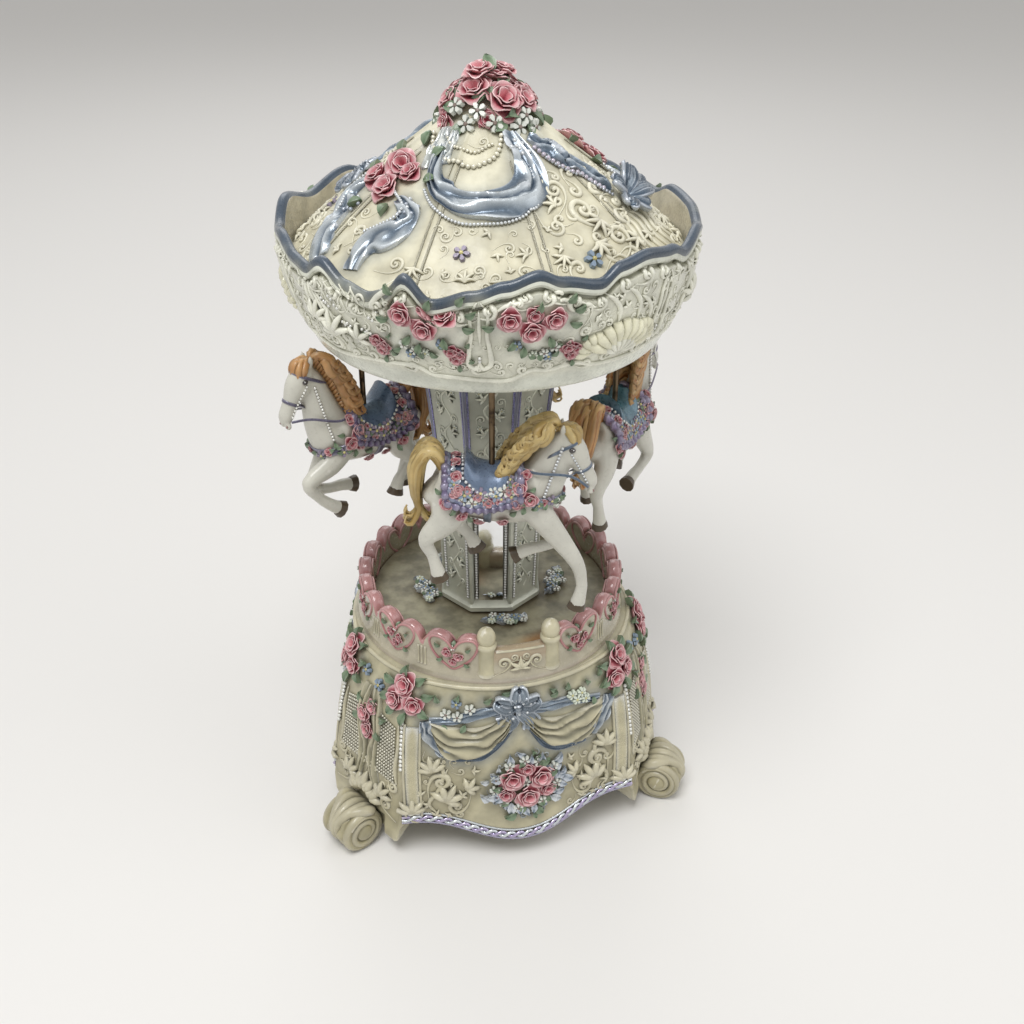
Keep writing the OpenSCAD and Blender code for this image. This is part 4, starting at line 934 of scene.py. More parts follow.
class Horse:
    """One horse, made in its own place and then stood on its pole: x is forward, z is up from the seat"""

    def __init__(self, k, pose, turned_out):
        self.k, self.body, self.pose = k, f"horse_{k}", pose
        self.stand = (Matrix.Rotation(radians(FRONT + 90 * (k - 1)), 4, "Z")
            @ Matrix.Translation((POLE_CIRCLE, 0, SEAT)) @ Matrix.Rotation(radians(90 - turned_out), 4, "Z"))
        flesh = Clay()
        limb(flesh, pose["neck"])
        limb(flesh, pose["head"])
        for drawn in pose["legs"]:
            stout = [(*p[:3], p[3] * g, p[4] * g) for p, g in zip(drawn, LEG_SWELL)]
            limb(flesh, stout, 4, 12)
            x, y, z, wide, deep = stout[2]
            ball(flesh, (x, y, z), (wide + 0.2, wide + 0.1, deep + 0.2), MILK)
        self.poll, self.cheek, self.muzzle = ((pose["head"][k][0], pose["head"][k][2]) for k in (1, 2, 5))
        (px, pz), (cx, cz), (mx, mz) = self.poll, self.cheek, self.muzzle
        for side in (-1, 1):
            # Ears, cheeks, brow and nostrils
            ear = [(px - 0.6, side * 1.4, pz + 1.6, 1.0, 1.2), (px - 1.0, side * 2.0, pz + 3.6, 0.9, 1.1),
                (px - 0.8, side * 2.3, pz + 5.6, 0.25, 0.3)]
            limb(flesh, ear, 3, 8)
            ball(flesh, (cx - 1.6, side * 1.9, cz - 0.6), (2.3, 1.6, 2.7), MILK)
            ball(flesh, (mix(px, cx, 0.62), side * 2.5, mix(pz, cz, 0.45)), (1.3, 0.9, 1.1), MILK)
            ball(flesh, (mx - 0.5, side * 1.4, mz - 0.6), (1.1, 1.1, 1.2), MILK)
            # Shoulders and haunches
            ball(flesh, (10, side * 4.6, -6), (5, 3.6, 7), MILK)
            ball(flesh, (-12.4, side * 4.4, -7), (5.6, 3.8, 6.6), MILK)
        mesh = modelled(f"horse_{k}_flesh", flesh, 0.5, 4)
        self.tree = BVHTree.FromPolygons([v.co / MM for v in mesh.vertices],
            [tuple(f.vertices) for f in mesh.polygons])
        mesh.transform(Matrix.Scale(MM, 4) @ self.stand @ Matrix.Scale(1 / MM, 4))
        tints = mesh.attributes.new("tint", "FLOAT_COLOR", "POINT")
        tints.data.foreach_set("color", (*MILK, 1.0) * len(mesh.vertices))
        made = bpy.data.objects.new(f"horse_{k}_flesh", mesh)
        finish(made, self.body, "horse_resin", horse_paint, [f"horse_{k}"], crease=0)
        self.garden = Garden(f"horse_{k}", self.body, "horse_resin", None)

    def put(self, p):
        return self.stand @ Vector(p)

    def face(self, n):
        return (self.stand.to_3x3() @ Vector(n)).normalized()

    def cast(self, start, way, lift=0.0):
        p, n = self.tree.ray_cast(Vector(start), Vector(way).normalized())[:2]
        return (Vector(start) if p is None else p + n * lift), (-Vector(way) if n is None else n)

    def round(self, x, z, v, lift=0.0):
        """A place on the trunk: v is the angle round it from its top"""
        way = Vector((0, sin(radians(v)), cos(radians(v))))
        p, n = self.cast(Vector((x, 0, z)) + way * 30, -way)
        return p + n * lift, n

    def patch(self, name, material, first, last, reach, lift, tint, along=14, across=22, depth=-0.5):
        """A cloth or a saddle over the back: lift(t, s) is its thickness, and reach(t) how far it hangs"""
        rows, tints = [], []
        for i in range(along + 1):
            x = mix(first, last, i / along)
            wide = reach(i / along)
            turns = [wide * (2 * j / across - 1) for j in range(across + 1)]
            row = [self.round(x, TRUNK, v, lift(i / along, v / wide)) for v in turns]
            under = [self.round(x, TRUNK, v, depth) for v in reversed(turns)]
            rows.append([self.put(p) for p, _ in row + under])
            tints += [tint(i / along, v / wide) for v in turns + turns[::-1]]
        points, faces = skin(rows)
        return piece(f"horse_{self.k}_{name}", self.body, "horse_resin", material, points, faces, tints,
            crease=60)

    def sew(self, kind, places, breadth, tint, loop=False):
        """A line through (point, outward direction) places on the horse"""
        line = [(self.put(p), self.face(n)) for p, n in places]
        self.garden.kind(kind).run(line, breadth, tint, loop)

    def pin(self, kind, p, n, size, spin, tilt=0):
        self.garden.kind(kind).set((self.put(p), self.face(n)), size, spin, tilt)

    def curl(self, kind, points, out, steps, breadth, tint):
        """A free curve that faces one way"""
        self.sew(kind, [(p, out) for p in smooth(points, steps)], breadth, tint)

    def edge(self, first, last, reach, lift, wave=0.0, count=60, waves=15):
        """The outline of a patch, with a ruffle if it is waved"""
        path = []
        corner = [(0, -1), (1, -1), (1, 1), (0, 1)]
        for (t0, s0), (t1, s1) in zip(corner, corner[1:] + corner[:1]):
            for k in range(count // 4):
                t, s = mix(t0, t1, 4 * k / count), mix(s0, s1, 4 * k / count)
                up = lift + wave * (1 + sin(2 * pi * waves * len(path) / count))
                p, n = self.round(mix(first, last, t), TRUNK, s * reach(t), up)
                path.append((p, n))
        return path

    def hooves(self):
        clay = Clay()
        for *_, fetlock, foot in self.pose["legs"]:
            (ax, ay, az, *_), (bx, by, bz, *_) = fetlock, foot
            way = Vector((bx - ax, by - ay, bz - az)).normalized()
            foot = Vector((bx, by, bz))
            toe = foot + way * 1.7
            fore = foot - way * 1.5
            limb(clay, [(*(fore + way * 0.4), 1.6, 1.8), (*(fore + way * 0.9), 2.1, 2.3), (*foot, 2.3, 2.6),
                (*toe, 2.7, 3.1)], 2, 10)
        points = [self.put(p) for p in clay.points]
        piece(f"horse_{self.k}_hooves", self.body, "horse_resin", hoof_paint, points, clay.faces,
            (0.06, 0.04, 0.02), crease=50)

    def eyes(self):
        clay = Clay()
        (px, pz), (cx, cz), (mx, mz) = self.poll, self.cheek, self.muzzle
        for side in (-1, 1):
            p, n = self.cast((mix(px, cx, 0.66), side * 12, mix(pz, cz, 0.52)), (0, -side, 0))
            ball(clay, p + n * 0.05, (1.0, 0.55, 0.85), DARK, None, 12, 8)
            # A small white bead on the eye: a painted glint
            ball(clay, p + n * 0.5 + Vector((0.3, 0, 0.3)), (0.22, 0.14, 0.2), (0.9, 0.9, 0.9), None, 6, 4)
            p, n = self.cast((mx + 0.3, side * 12, mz - 0.4), (0, -side, 0))
            ball(clay, p, (0.42, 0.3, 0.5), (0.28, 0.17, 0.15), None, 8, 5)
        points = [self.put(q) for q in clay.points]
        piece(f"horse_{self.k}_eyes", self.body, "horse_resin", eye_gloss, points, clay.faces, clay.tints,
            crease=0)

    def hair(self, colour, streak):
        """Curled locks: the mane on both sides of the crest, the forelock and the tail"""
        crest = smooth([(x, z) for x, z in self.pose["crest"]], 3)
        for i, (x, z) in enumerate(crest):
            tint = mixed(colour, streak, 0.5 + 0.5 * sin(2.3 * i))
            for side in (-1, 1):
                swing, long = 1.0 * sin(1.9 * i + side), 0.72 + 0.22 * sin(2.7 * i + 2 * side)
                line = [(x + 1.2, 0, z - 0.4), (x - 0.6, side * 1.8, z + 1.9),
                    (x - 2.6 + swing, side * 3.4, z + 0.7), (x - 3.2 + swing, side * 4.2, z - 2.2 * long),
                    (x - 4.8 + swing, side * 4.4, z - 4.0 * long), (x - 6.6, side * 4.4, z - 3.2 * long),
                    (x - 6.4, side * 4.2, z - 1.4 * long), (x - 5.2, side * 4.4, z - 1.6 * long)]
                self.curl("hair", line, (-0.3, side, 0.3), 4, (0.9, 1.7, 1.9, 1.7, 1.3, 0.9, 0.3), tint)
        px, pz = self.poll
        for k, (dx, side, down) in enumerate(((1.6, -1, 4.4), (2.4, 0.1, 5.4), (1.6, 1, 4.6),
                (0.2, -1.4, 3.2), (0.2, 1.4, 3.2))):
            line = [(px - 2.6, 0, pz + 2.4), (px + dx - 0.4, side * 1.0, pz + 3.6),
                (px + dx + 1.6, side * 2.0, pz + 1.6), (px + dx + 1.8, side * 1.8, pz + 2.4 - down),
                (px + dx + 0.6, side * 1.4, pz + 1.8 - down)]
            self.curl("hair", line, (0.6, side, 0.6), 4, (0.8, 1.4, 1.4, 0.9, 0.25),
                mixed(colour, streak, 0.3 * k % 1))
        path = smooth([(-13.6, -3.0), (-16.0, 4.0), (-18.8, 6.2), (-21.4, 3.2), (-22.4, -2.4), (-22.6, -9),
            (-22.0, -14)], 3)
        locks = 10
        for k in range(locks + 1):
            # The last lock runs down the middle
            apart = 1 if k < locks else 0
            u = 2 * pi * k / locks * apart
            line = []
            for i, (x, z) in enumerate(path):
                t = i / (len(path) - 1)
                spread = apart * (0.6 + 2.7 * sin(pi * min(t * 1.12, 1)) ** 0.8)
                spread += 0.5 * sin(6 * t + 1.7 * k) * apart
                line.append((x + 0.35 * spread * sin(u), spread * 1.15 * cos(u), z + 0.35 * spread * sin(u)))
            x, y, z = line[-1]
            side = 1 if sin(u + 0.6) > 0 else -1
            line += [(x + side * 2.2, y * 1.5, z - 2.6 - k % 3), (x + side * 4.4, y * 1.7, z - 1.8 - k % 3),
                (x + side * 3.6, y * 1.6, z + 0.4 - k % 3)]
            out = (sin(u) * 0.8 - 0.2, cos(u), 0.2)
            self.curl("hair", line, out, 2, (0.9, 1.5, 2.0, 2.1, 1.7, 1.2, 0.3),
                mixed(colour, streak, 0.5 + 0.5 * sin(2.1 * k)))

    def dress(self, seat, cloth, ruffle, beads):
        """The blanket with its ruffle, the saddle, and their bead edges. t runs from the rump to the withers,
        and s from one side to the other"""
        def hang(t):
            return 88 + 24 * sin(pi * t) ** 0.8

        def saddle_hang(t):
            return 42 + 34 * sin(pi * t) ** 0.9

        def folds(t, s):
            return 0.75 + 0.3 * sin(26 * t + 3 * s) * abs(s) + 0.22 * sin(17 * s)

        def padding(t, s):
            cantle, pommel = 3.4 * max(0, 1 - t / 0.28) ** 1.4, 2.6 * max(0, (t - 0.76) / 0.24) ** 1.3
            return 1.5 + (1 - s * s) * (cantle + pommel)

        self.patch("blanket", cloth_paint, *BLANKET, hang, folds,
            lambda t, s: mixed(cloth, seat, 0.35 + 0.35 * sin(9 * t + 5 * s)), 26, 34)
        self.sew("ruffles", self.edge(*BLANKET, hang, 0.7, 0.5, 160, 40), 1.25, ruffle, True)
        self.sew("ruffles", self.edge(-12.6, 7.8, lambda t: hang(t) - 9, 0.9, 0.3, 160, 34), 0.8,
            mixed(ruffle, cloth, 0.5), True)
        self.sew("seed_pearls", self.edge(-11.4, 6.8, lambda t: hang(t) - 17, 1.1, 0, 80), 0.5, beads, True)
        self.patch("saddle", cloth_paint, *SADDLE, saddle_hang, padding,
            lambda t, s: mixed(seat, cloth, 0.3 * abs(s)), 20, 20)
        self.sew("pearls", self.edge(-8.8, 5.6, saddle_hang, 1.3, 0, 60), 0.56, beads, True)
        girth = [self.round(-1.5, TRUNK, v, 0.4) for v in range(95, 270, 8)]
        self.sew("straps", girth, 1.2, mixed(cloth, DARK, 0.4))

    def harness(self, strap, beads):
        """The bridle, the reins, the pearls on the neck and the breast band, which is given back"""
        (px, pz), (cx, cz), (mx, mz) = self.poll, self.cheek, self.muzzle

        def hoop(x, z, tilt, count=26, lift=0.15):
            up = Vector((-sin(tilt), 0, cos(tilt)))
            path = []
            for k in range(count):
                u = 2 * pi * k / count
                way = up * cos(u) + Vector((0, 1, 0)) * sin(u)
                p, n = self.cast(Vector((x, 0, z)) + way * 9, -way)
                path.append((p + n * lift, n))
            return path

        head_tilt = atan2(mz - pz, mx - px)
        self.sew("straps", hoop(mix(cx, mx, 0.45), mix(cz, mz, 0.45), head_tilt), 0.5, strap, True)
        self.sew("straps", hoop(mix(px, cx, 0.3), mix(pz, cz, 0.3), head_tilt), 0.5, strap, True)
        for side in (-1, 1):
            cheek = [self.cast((mix(px, mx, t), side * 9, mix(pz, mz, t) - 0.6), (0, -side, 0), 0.15)
                for t in (0.2, 0.36, 0.52, 0.68, 0.8)]
            self.sew("seed_pearls", cheek, 0.42, beads)
            # The rein, from the bit back to the saddle
            rein = [(mx - 1.2, side * 2.4, mz + 1), (mix(mx, 12, 0.4), side * 4.6, mix(mz, 4, 0.5) + 0.6),
                (12.4, side * 6.4, 1.2), (5.4, side * 4.6, 3.4)]
            self.curl("straps", rein, (0, side, 0.3), 6, 0.42, strap)
        # Pearls down the neck, and the breast band
        low, high = self.pose["neck"][5], self.pose["neck"][8]
        for side in (-1, 1):
            run = []
            for k in range(14):
                t = k / 13
                p, n = self.cast((mix(high[0] + 0.5, low[0] + 4.2, t), side * 16,
                    mix(high[2], low[2] + 1, t)), (0, -side, 0), 0.25)
                run.append((p, n))
            self.sew("seed_pearls", run, 0.5, beads)
        band = []
        for k in range(41):
            u = radians(-100 + 5 * k)
            way = Vector((cos(u), sin(u), 0))
            p, n = self.cast(Vector((6, 0, -5 - 4.5 * cos(u))) + way * 24, -way, 0.3)
            band.append((p, n))
        self.sew("straps", band, 1.2, strap)
        return band

    def flowers(self, band, kinds, size=1.7):
        """Blooms along the breast band, at the shoulder and round the blanket"""
        for k, (p, n) in enumerate(band[1:-1:2]):
            q = p + Vector((0, 0, 0.8 * sin(2.1 * k)))
            self.pin(kinds[k % len(kinds)], q + n * 0.5, n, size * (0.9 + 0.15 * (k % 3)), 50 * k)
            self.pin("leaves", q + n * 0.2, n, size * 1.5, 77 * k + 90, 16)
        for side in (-1, 1):
            for k, (x, z, s) in enumerate(((8.4, -3, 2.9), (11, -6.2, 2.8), (7.2, -7.6, 2.7), (9.8, 0.2, 2.1),
                    (-11.6, -4, 2.3), (-13.4, -7.4, 2.4), (-9.4, -12, 2.1), (-4, -15, 2.0), (3, -14.6, 2.0))):
                p, n = self.cast((x, side * 26, z), (0, -side, 0))
                self.pin("roses", p + n * 0.9, n, s, 61 * k)
            for k, (x, z) in enumerate(((6.4, -4.4), (12.4, -3.4), (9.4, -9.2), (12.6, -8), (-9.4, -6),
                    (-14.6, -4.6), (-11.2, -9.4), (-7.4, -13.6), (5, -12))):
                p, n = self.cast((x, side * 26, z), (0, -side, 0))
                self.pin("leaves", p + n * 0.5, n, 2.6, 83 * k, 16)
            for k in range(26):
                t = (k + 0.5) / 26
                hang = side * (64 + 22 * sin(pi * t) + 13 * sin(5 * k))
                p, n = self.round(mix(-12.6, 7.6, t), TRUNK, hang, 1.2)
                self.pin(kinds[k % len(kinds)], p, n, size * (0.85 + 0.2 * (k % 3)), 40 * k)
                self.pin("leaves", p - n * 0.4, n, size * 1.1, 77 * k, 14)
            # More of them before and behind the saddle
            for k in range(9):
                p, n = self.round(6.6 if k % 2 else -10.6, TRUNK, side * (12 + 7 * k), 1.3)
                self.pin(("roses", "lilac_flowers", "blue_leaves", "leaves")[k % 4], p, n, size * 1.15,
                    55 * k)


# Each horse's pose, how far it is turned out, then its hair, streaks, saddle, cloth, ruffle and beads
HORSES = (
    (BOWED, 0, (0.44, 0.29, 0.08), (0.66, 0.50, 0.21),
     (0.13, 0.18, 0.28), (0.13, 0.20, 0.29), (0.15, 0.12, 0.22), SILVER,
     ("daisies", "blue_flowers", "roses", "lilac_flowers")),
    (RAISED, 32, (0.40, 0.15, 0.03), (0.60, 0.36, 0.14),
     (0.09, 0.22, 0.27), (0.26, 0.23, 0.34), (0.21, 0.16, 0.28), WHITE,
     ("roses", "lilac_flowers", "blue_flowers")),
    (BOWED, 0, (0.54, 0.36, 0.12), (0.64, 0.48, 0.22),
     (0.16, 0.22, 0.30), (0.30, 0.25, 0.36), (0.26, 0.13, 0.22), WHITE,
     ("roses", "daisies", "pale_flowers")),
    (RAISED, 52, (0.42, 0.18, 0.05), (0.60, 0.32, 0.12),
     (0.07, 0.13, 0.21), (0.14, 0.13, 0.22), (0.085, 0.05, 0.13), WHITE,
     ("roses", "leaves", "lilac_flowers")))


def make_horse(k, pose, turned_out, colour, streak, seat, cloth, ruffle, beads, kinds):
    horse = Horse(k, pose, turned_out)
    horse.hooves()
    horse.eyes()
    horse.hair(colour, streak)
    horse.dress(seat, cloth, ruffle, beads)
    horse.flowers(horse.harness(mixed(cloth, DARK, 0.35), beads), kinds)
    horse.garden.grow()


# The camera stands in front and above, a little turned to the right
CAMERA_AT, CAMERA_TURN, CAMERA_DIP, CAMERA_ROLL = (-74.76, -342.8, 325.57), -13.54, 31.69, 0.45
SENSOR, LENS = 36, 42.19
# Each lamp's place in metres, its power and its width
LAMPS = {"key": ((-0.3, -0.4, 1.2), 9.5, 0.6), "fill": ((0.9, -0.5, 0.7), 2.4, 0.9),
    "back": ((0.1, 0.9, 0.9), 2.2, 0.7)}


def light_and_camera():
    scene = bpy.context.scene
    scene.view_settings.view_transform = "Standard"
    camera = bpy.data.objects.new("camera", bpy.data.cameras.new("camera"))
    scene.collection.objects.link(camera)
    scene.camera = camera
    camera.data.sensor_width, camera.data.lens = SENSOR, LENS
    camera.data.clip_start, camera.data.clip_end = 0.02, 20
    camera.location = Vector(CAMERA_AT) * MM
    camera.rotation_euler = (Matrix.Rotation(radians(CAMERA_TURN), 3, "Z")
        @ Matrix.Rotation(radians(90 - CAMERA_DIP), 3, "X")
        @ Matrix.Rotation(radians(CAMERA_ROLL), 3, "Z")).to_euler()

    floor = bpy.data.meshes.new("floor")
    floor.from_pydata([(-4, -4, 0), (4, -4, 0), (4, 4, 0), (-4, 4, 0)], [], [(0, 1, 2, 3)])
    table = bpy.data.objects.new("floor", floor)
    scene.collection.objects.link(table)
    paper, tree, surface = shader("pale paper", Base_Color=(0.80, 0.79, 0.77, 1), Roughness=0.8)
    floor.materials.append(paper)

    world = bpy.data.worlds.new("studio")
    scene.world = world
    world.use_nodes = True
    tree = world.node_tree
    tree.nodes.clear()
    seen = wire(tree, "ShaderNodeLightPath")
    bright = wire(tree, "ShaderNodeMath", {0: seen.outputs["Is Camera Ray"],
        1: seen.outputs["Is Glossy Ray"]}, operation="MAXIMUM").outputs[0]
    bright = wire(tree, "ShaderNodeMath", {0: bright, 1: seen.outputs["Is Transmission Ray"]},
        operation="MAXIMUM").outputs[0]
    strength = wire(tree, "ShaderNodeMapRange", {0: bright, 3: 0.46, 4: 0.86}).outputs[0]
    sky = wire(tree, "ShaderNodeBackground", {"Color": (1, 0.985, 0.965, 1), "Strength": strength})
    wire(tree, "ShaderNodeOutputWorld", {"Surface": sky.outputs[0]})
    for name, (place, power, size) in LAMPS.items():
        lamp = bpy.data.objects.new(name, bpy.data.lights.new(name, "AREA"))
        scene.collection.objects.link(lamp)
        lamp.data.energy, lamp.data.size = power, size
        lamp.location = place
        lamp.rotation_euler = (Vector((0, 0, 0.12)) - Vector(place)).to_track_quat("-Z", "Y").to_euler()


# ---- Ornament ----

bloom_petal = petal()
rose = grown("rose", seed_mesh([(0, 0, 0)]), WHORL, rose_paint, Petal=bloom_petal, Petals=11, Open=1.15)
pattern(rose)
BLOOMS = {
    "roses": (rose, rose_paint), "leaves": (leaf("leaf", LEAF), leaf_paint),
    "blue_leaves": (leaf("blue leaf", (0.11, 0.16, 0.22)), ribbon_paint),
    "silver_leaves": (leaf("silver leaf", (0.38, 0.42, 0.44)), ribbon_paint),
    "daisies": (blossom("daisy", 5, WHITE, (0.12, 0.04, 0.05)), leaf_paint),
    "blue_flowers": (blossom("blue flower", 5, (0.16, 0.24, 0.40), (0.5, 0.4, 0.1)), leaf_paint),
    "lilac_flowers": (blossom("lilac flower", 5, PURPLE, (0.7, 0.6, 0.2)), leaf_paint),
    "pale_flowers": (blossom("pale flower", 6, (0.70, 0.76, 0.66), (0.55, 0.50, 0.2)), leaf_paint)}
BANDS = {
    "ribbons": (ribbon_band, ribbon_paint), "bows": (cloth_folds, ribbon_paint),
    "carving": (carved_bead, resin), "trim": (carved_bead, silver_paint), "hair": (hair_lock, hair_paint),
    "ruffles": (carved_bead, cloth_paint), "straps": (ribbon_band, cloth_paint)}
CLOTHS = {"satin": ribbon_paint, "folds": None}
BEADS = {"pearls": (1.5, 0.72), "seed_pearls": (1.05, 0.5)}


class Garden:
    """The ornament of one part, gathered so that each kind makes one piece"""

    def __init__(self, name, body, slot, ground, paint=None):
        self.name, self.body, self.slot, self.ground, self.paint = name, body, slot, ground, paint
        self.kinds, self.origin = {}, 0.0

    def kind(self, name):
        if name not in self.kinds:
            self.kinds[name] = Spray() if name in BLOOMS else Threads()
        return self.kinds[name]

    def trace(self, kind, line, breadth, tint, lift=0.0, steps=5, loop=False):
        """A line through (angle, height) places"""
        line = [tuple(p) + (0.0,) * (3 - len(p)) for p in line]
        places = [self.ground.spot(self.origin + a, v, up + lift)
            for a, v, up in (smooth(line, steps, loop) if steps > 1 else line)]
        self.kind(kind).run(places, breadth, tint, loop)

    def draw(self, kind, a, v, line, breadth, tint, size=1.0, turn=0.0, flip=1, lift=0.0, steps=3,
            loop=False):
        """A line drawn in millimetres about one place"""
        line = smooth([tuple(p) + (0.0,) * (3 - len(p)) for p in line], steps, loop) if steps > 1 else line
        widths = [b * size for b in breadth] if hasattr(breadth, "__len__") else breadth * size
        self.kind(kind).run(self.ground.drawn(self.origin + a, v, line, size, turn, flip, lift), widths, tint,
            loop)

    def carve(self, line, breadth, lift=0.0, tint=None, steps=5, loop=False):
        self.trace("carving", line, breadth, tint or self.tint, lift, steps, loop)

    def bead(self, line, tint=WHITE, kind="pearls", lift=0.3, steps=5):
        self.trace(kind, line, BEADS[kind][1], tint, lift, steps)

    def bloom(self, kind, a, v, size, spin=0.0, lift=0.0, tilt=0.0):
        self.kind(kind).set(self.ground.spot(self.origin + a, v, lift), size, spin, tilt)

    def leaves(self, places, size, lift, tilt):
        """Leaves at (angle, height, spin) places"""
        for a, v, spin in places:
            self.bloom("leaves", a, v, size, spin, lift, tilt)

    def roses(self, places, turn, lift, first=0):
        """Roses at (angle, height, size) places, each turned on from the last"""
        for k, (a, v, size) in enumerate(places):
            self.bloom("roses", a, v, size, turn * k + first, lift)

    def heap(self, kind, a, v, count, reach, even, lift, breadth, tints):
        """Beads that lie round a place, in a spiral that widens with the square root of their number"""
        for k in range(count):
            far = [reach * part * sqrt(k / even) for part in (cos(TWIRL * k), sin(TWIRL * k))]
            p, n = self.ground.near(self.origin + a, v, *far, lift)
            self.kind(kind).run([(p, n), (p + n * 0.02, n)], breadth, tints[k % len(tints)])

    def cluster(self, blooms, size, leaves=6, kind="leaves", reach=1.0, lift=0.6, length=1.0):
        """Roses at the given places, with leaves that look out from between them"""
        a0 = sum(a for a, _ in blooms) / len(blooms)
        v0 = sum(v for _, v in blooms) / len(blooms)
        for k, (a, v) in enumerate(blooms):
            self.bloom("roses", a, v, size * (1 - 0.08 * (k % 3)), 47 * k, lift)
        spread = size * (0.9 + 0.32 * len(blooms)) * 0.62 * reach
        for k in range(leaves):
            u = 2 * pi * (k + 0.3) / leaves
            p, n = self.ground.near(self.origin + a0, v0, spread * cos(u), spread * sin(u), 0.3)
            self.kind(kind).set((p, n), size * 0.95 * length, degrees(u) - 90 + 20 * sin(5 * k), 12)

    def scroll(self, a, v, size, turn=0, flip=1, tint=None, turns=1.35, tail=2.6, kind="carving",
            breadth=0.34):
        """A volute with a tail that swings in to it"""
        line = [(-tail, -1.0 + 0.5 * tail / 2.6), (-tail * 0.62, -0.86), (-tail * 0.3, -1.06)]
        for k in range(15):
            u, r = -90 + 360 * turns * k / 14, 1 - 0.86 * k / 14
            line.append((r * cos(radians(u)), r * sin(radians(u)), 0.1 * k / 14))
        self.draw(kind, a, v, line, (0.06, breadth, breadth * 0.8, breadth * 0.62), tint or self.tint, size,
            turn, flip, 0.15 * size * breadth, 2)
        self.draw(kind, a, v, [(-0.1, -0.05, 0.1), (0.05, 0.06, 0.2), (0.12, 0.1, 0.1)], breadth * 0.9,
            tint or self.tint, size, turn, flip, 0.1)

    def fan(self, a, v, size, turn=0, lobes=5, spread=120, flip=1, tint=None, curl=0.3, kind="carving",
            wide=0.2):
        """Lobes of carved foliage that open from one place"""
        for k in range(lobes):
            t = k / (lobes - 1) - 0.5 if lobes > 1 else 0
            u, long = radians(90 - spread * t), 1 - 0.9 * t * t
            bend = u - curl * (2 * t if lobes > 1 else 1)
            line = [(0, 0, 0.1), (0.4 * long * cos(u), 0.4 * long * sin(u), 0.2), (0.75 * long * cos(bend),
                0.75 * long * sin(bend), 0.16), (long * cos(bend - curl * t), long * sin(bend - curl * t),
                0.0)]
            self.draw(kind, a, v, line, (wide * 0.55, wide, wide * 0.75, 0.04), tint or self.tint, size, turn,
                flip, 0, 3)

    def scallop(self, a, v, size, turn, ribs, spread, tint, lift=0.1):
        """A shell of blunt ribs that touch, and grow wider to its edge"""
        across = radians(spread) / (ribs - 1)
        for k in range(ribs):
            u = radians(90 - spread * (k / (ribs - 1) - 0.5))
            line = [(r * cos(u), r * sin(u), up)
                for r, up in ((0.08, 0), (0.4, 0.1), (0.8, 0.1), (1.0, 0.02))]
            self.draw("carving", a, v, line, (0.06 * across, 0.3 * across, 0.52 * across, 0.42 * across),
                tint, size, turn, lift=lift)

    def field(self, low, high, step, size, clear=(), tint=None, seed=3, breadth=0.3, sprigs=0.3):
        """Small volutes and sprigs that fill the space between two corners, clear of some places. clear holds
        (angle, height, distance)"""
        chance = random.Random(seed)
        (a0, v0), (a1, v1) = low, high
        down = max(int((v1 - v0) / step), 1)
        for j in range(down + 1):
            v = v0 + (v1 - v0) * j / down
            r = v if self.ground.slope else self.ground.spot(self.origin + a0, v)[0].xy.length
            wide = degrees(step / max(r, 5))
            count = max(int((a1 - a0) / wide), 1)
            for k in range(count + 1):
                a = a0 + (a1 - a0) * (k + 0.5 * (j % 2)) / count + chance.uniform(-0.2, 0.2) * wide
                up = v + chance.uniform(-0.2, 0.2) * step
                turn, flip, grade = chance.uniform(0, 360), chance.choice((-1, 1)), chance.uniform(0.75, 1.15)
                if a > a1 or any(hypot(radians(a - x) * r, up - y) < near for x, y, near in clear):
                    continue
                if chance.random() > sprigs:
                    self.scroll(a, up, size * grade, turn, flip, tint, turns=0.95, tail=2.0, breadth=breadth)
                else:
                    self.fan(a, up, size * 1.7 * grade, turn, 3, 80, flip, tint, wide=0.16)

    def cloth(self, upper, lower, lit_ridge, shaded_valley, folds=2.2, deep=1.6, lift=0.3, waves=1.4, phase=0.0,
            kind="satin", across=16):
        """Cloth laid between two lines, in soft folds that run along them, coloured from the valley to the
        ridge of each fold: painted shade and painted highlight
        """
        upper, lower = smooth(upper, 5), smooth(lower, 5)
        rows, tints = [], []
        for i, (p, q) in enumerate(zip(upper, lower)):
            t = i / (len(upper) - 1)
            top, under, shades = [], [], []
            for j in range(across + 1):
                s = j / across
                place, n = self.ground.spot(self.origin + mix(p[0], q[0], s), mix(p[1], q[1], s))
                roll = folds * s + 0.3 * sin(2 * pi * waves * t + phase)
                roll += 0.2 * sin(9 * t + 7 * s)
                roll += 0.1 * sin(23 * t - 5 * s + phase)
                fold = (0.5 - 0.5 * cos(2 * pi * roll)) ** 0.8
                swell = sin(pi * s) ** 0.6 * (0.6 + 0.4 * sin(2 * pi * waves * t + phase + 1))
                top.append(place + n * (lift + deep * (0.6 * fold + 0.4 * swell)
                    * min(1, 5 * t + 0.4, 5 * (1 - t) + 0.4)))
                under.append(place - n * 0.5)
                # Painted shade in each fold's valley, and a painted highlight on its ridge
                shades.append(mixed(shaded_valley, lit_ridge, fold))
            rows.append(top + under[::-1])
            tints += shades + shades[::-1]
        if kind not in self.kinds:
            self.kinds[kind] = Clay()
        self.kinds[kind].add(*skin(rows), tints)

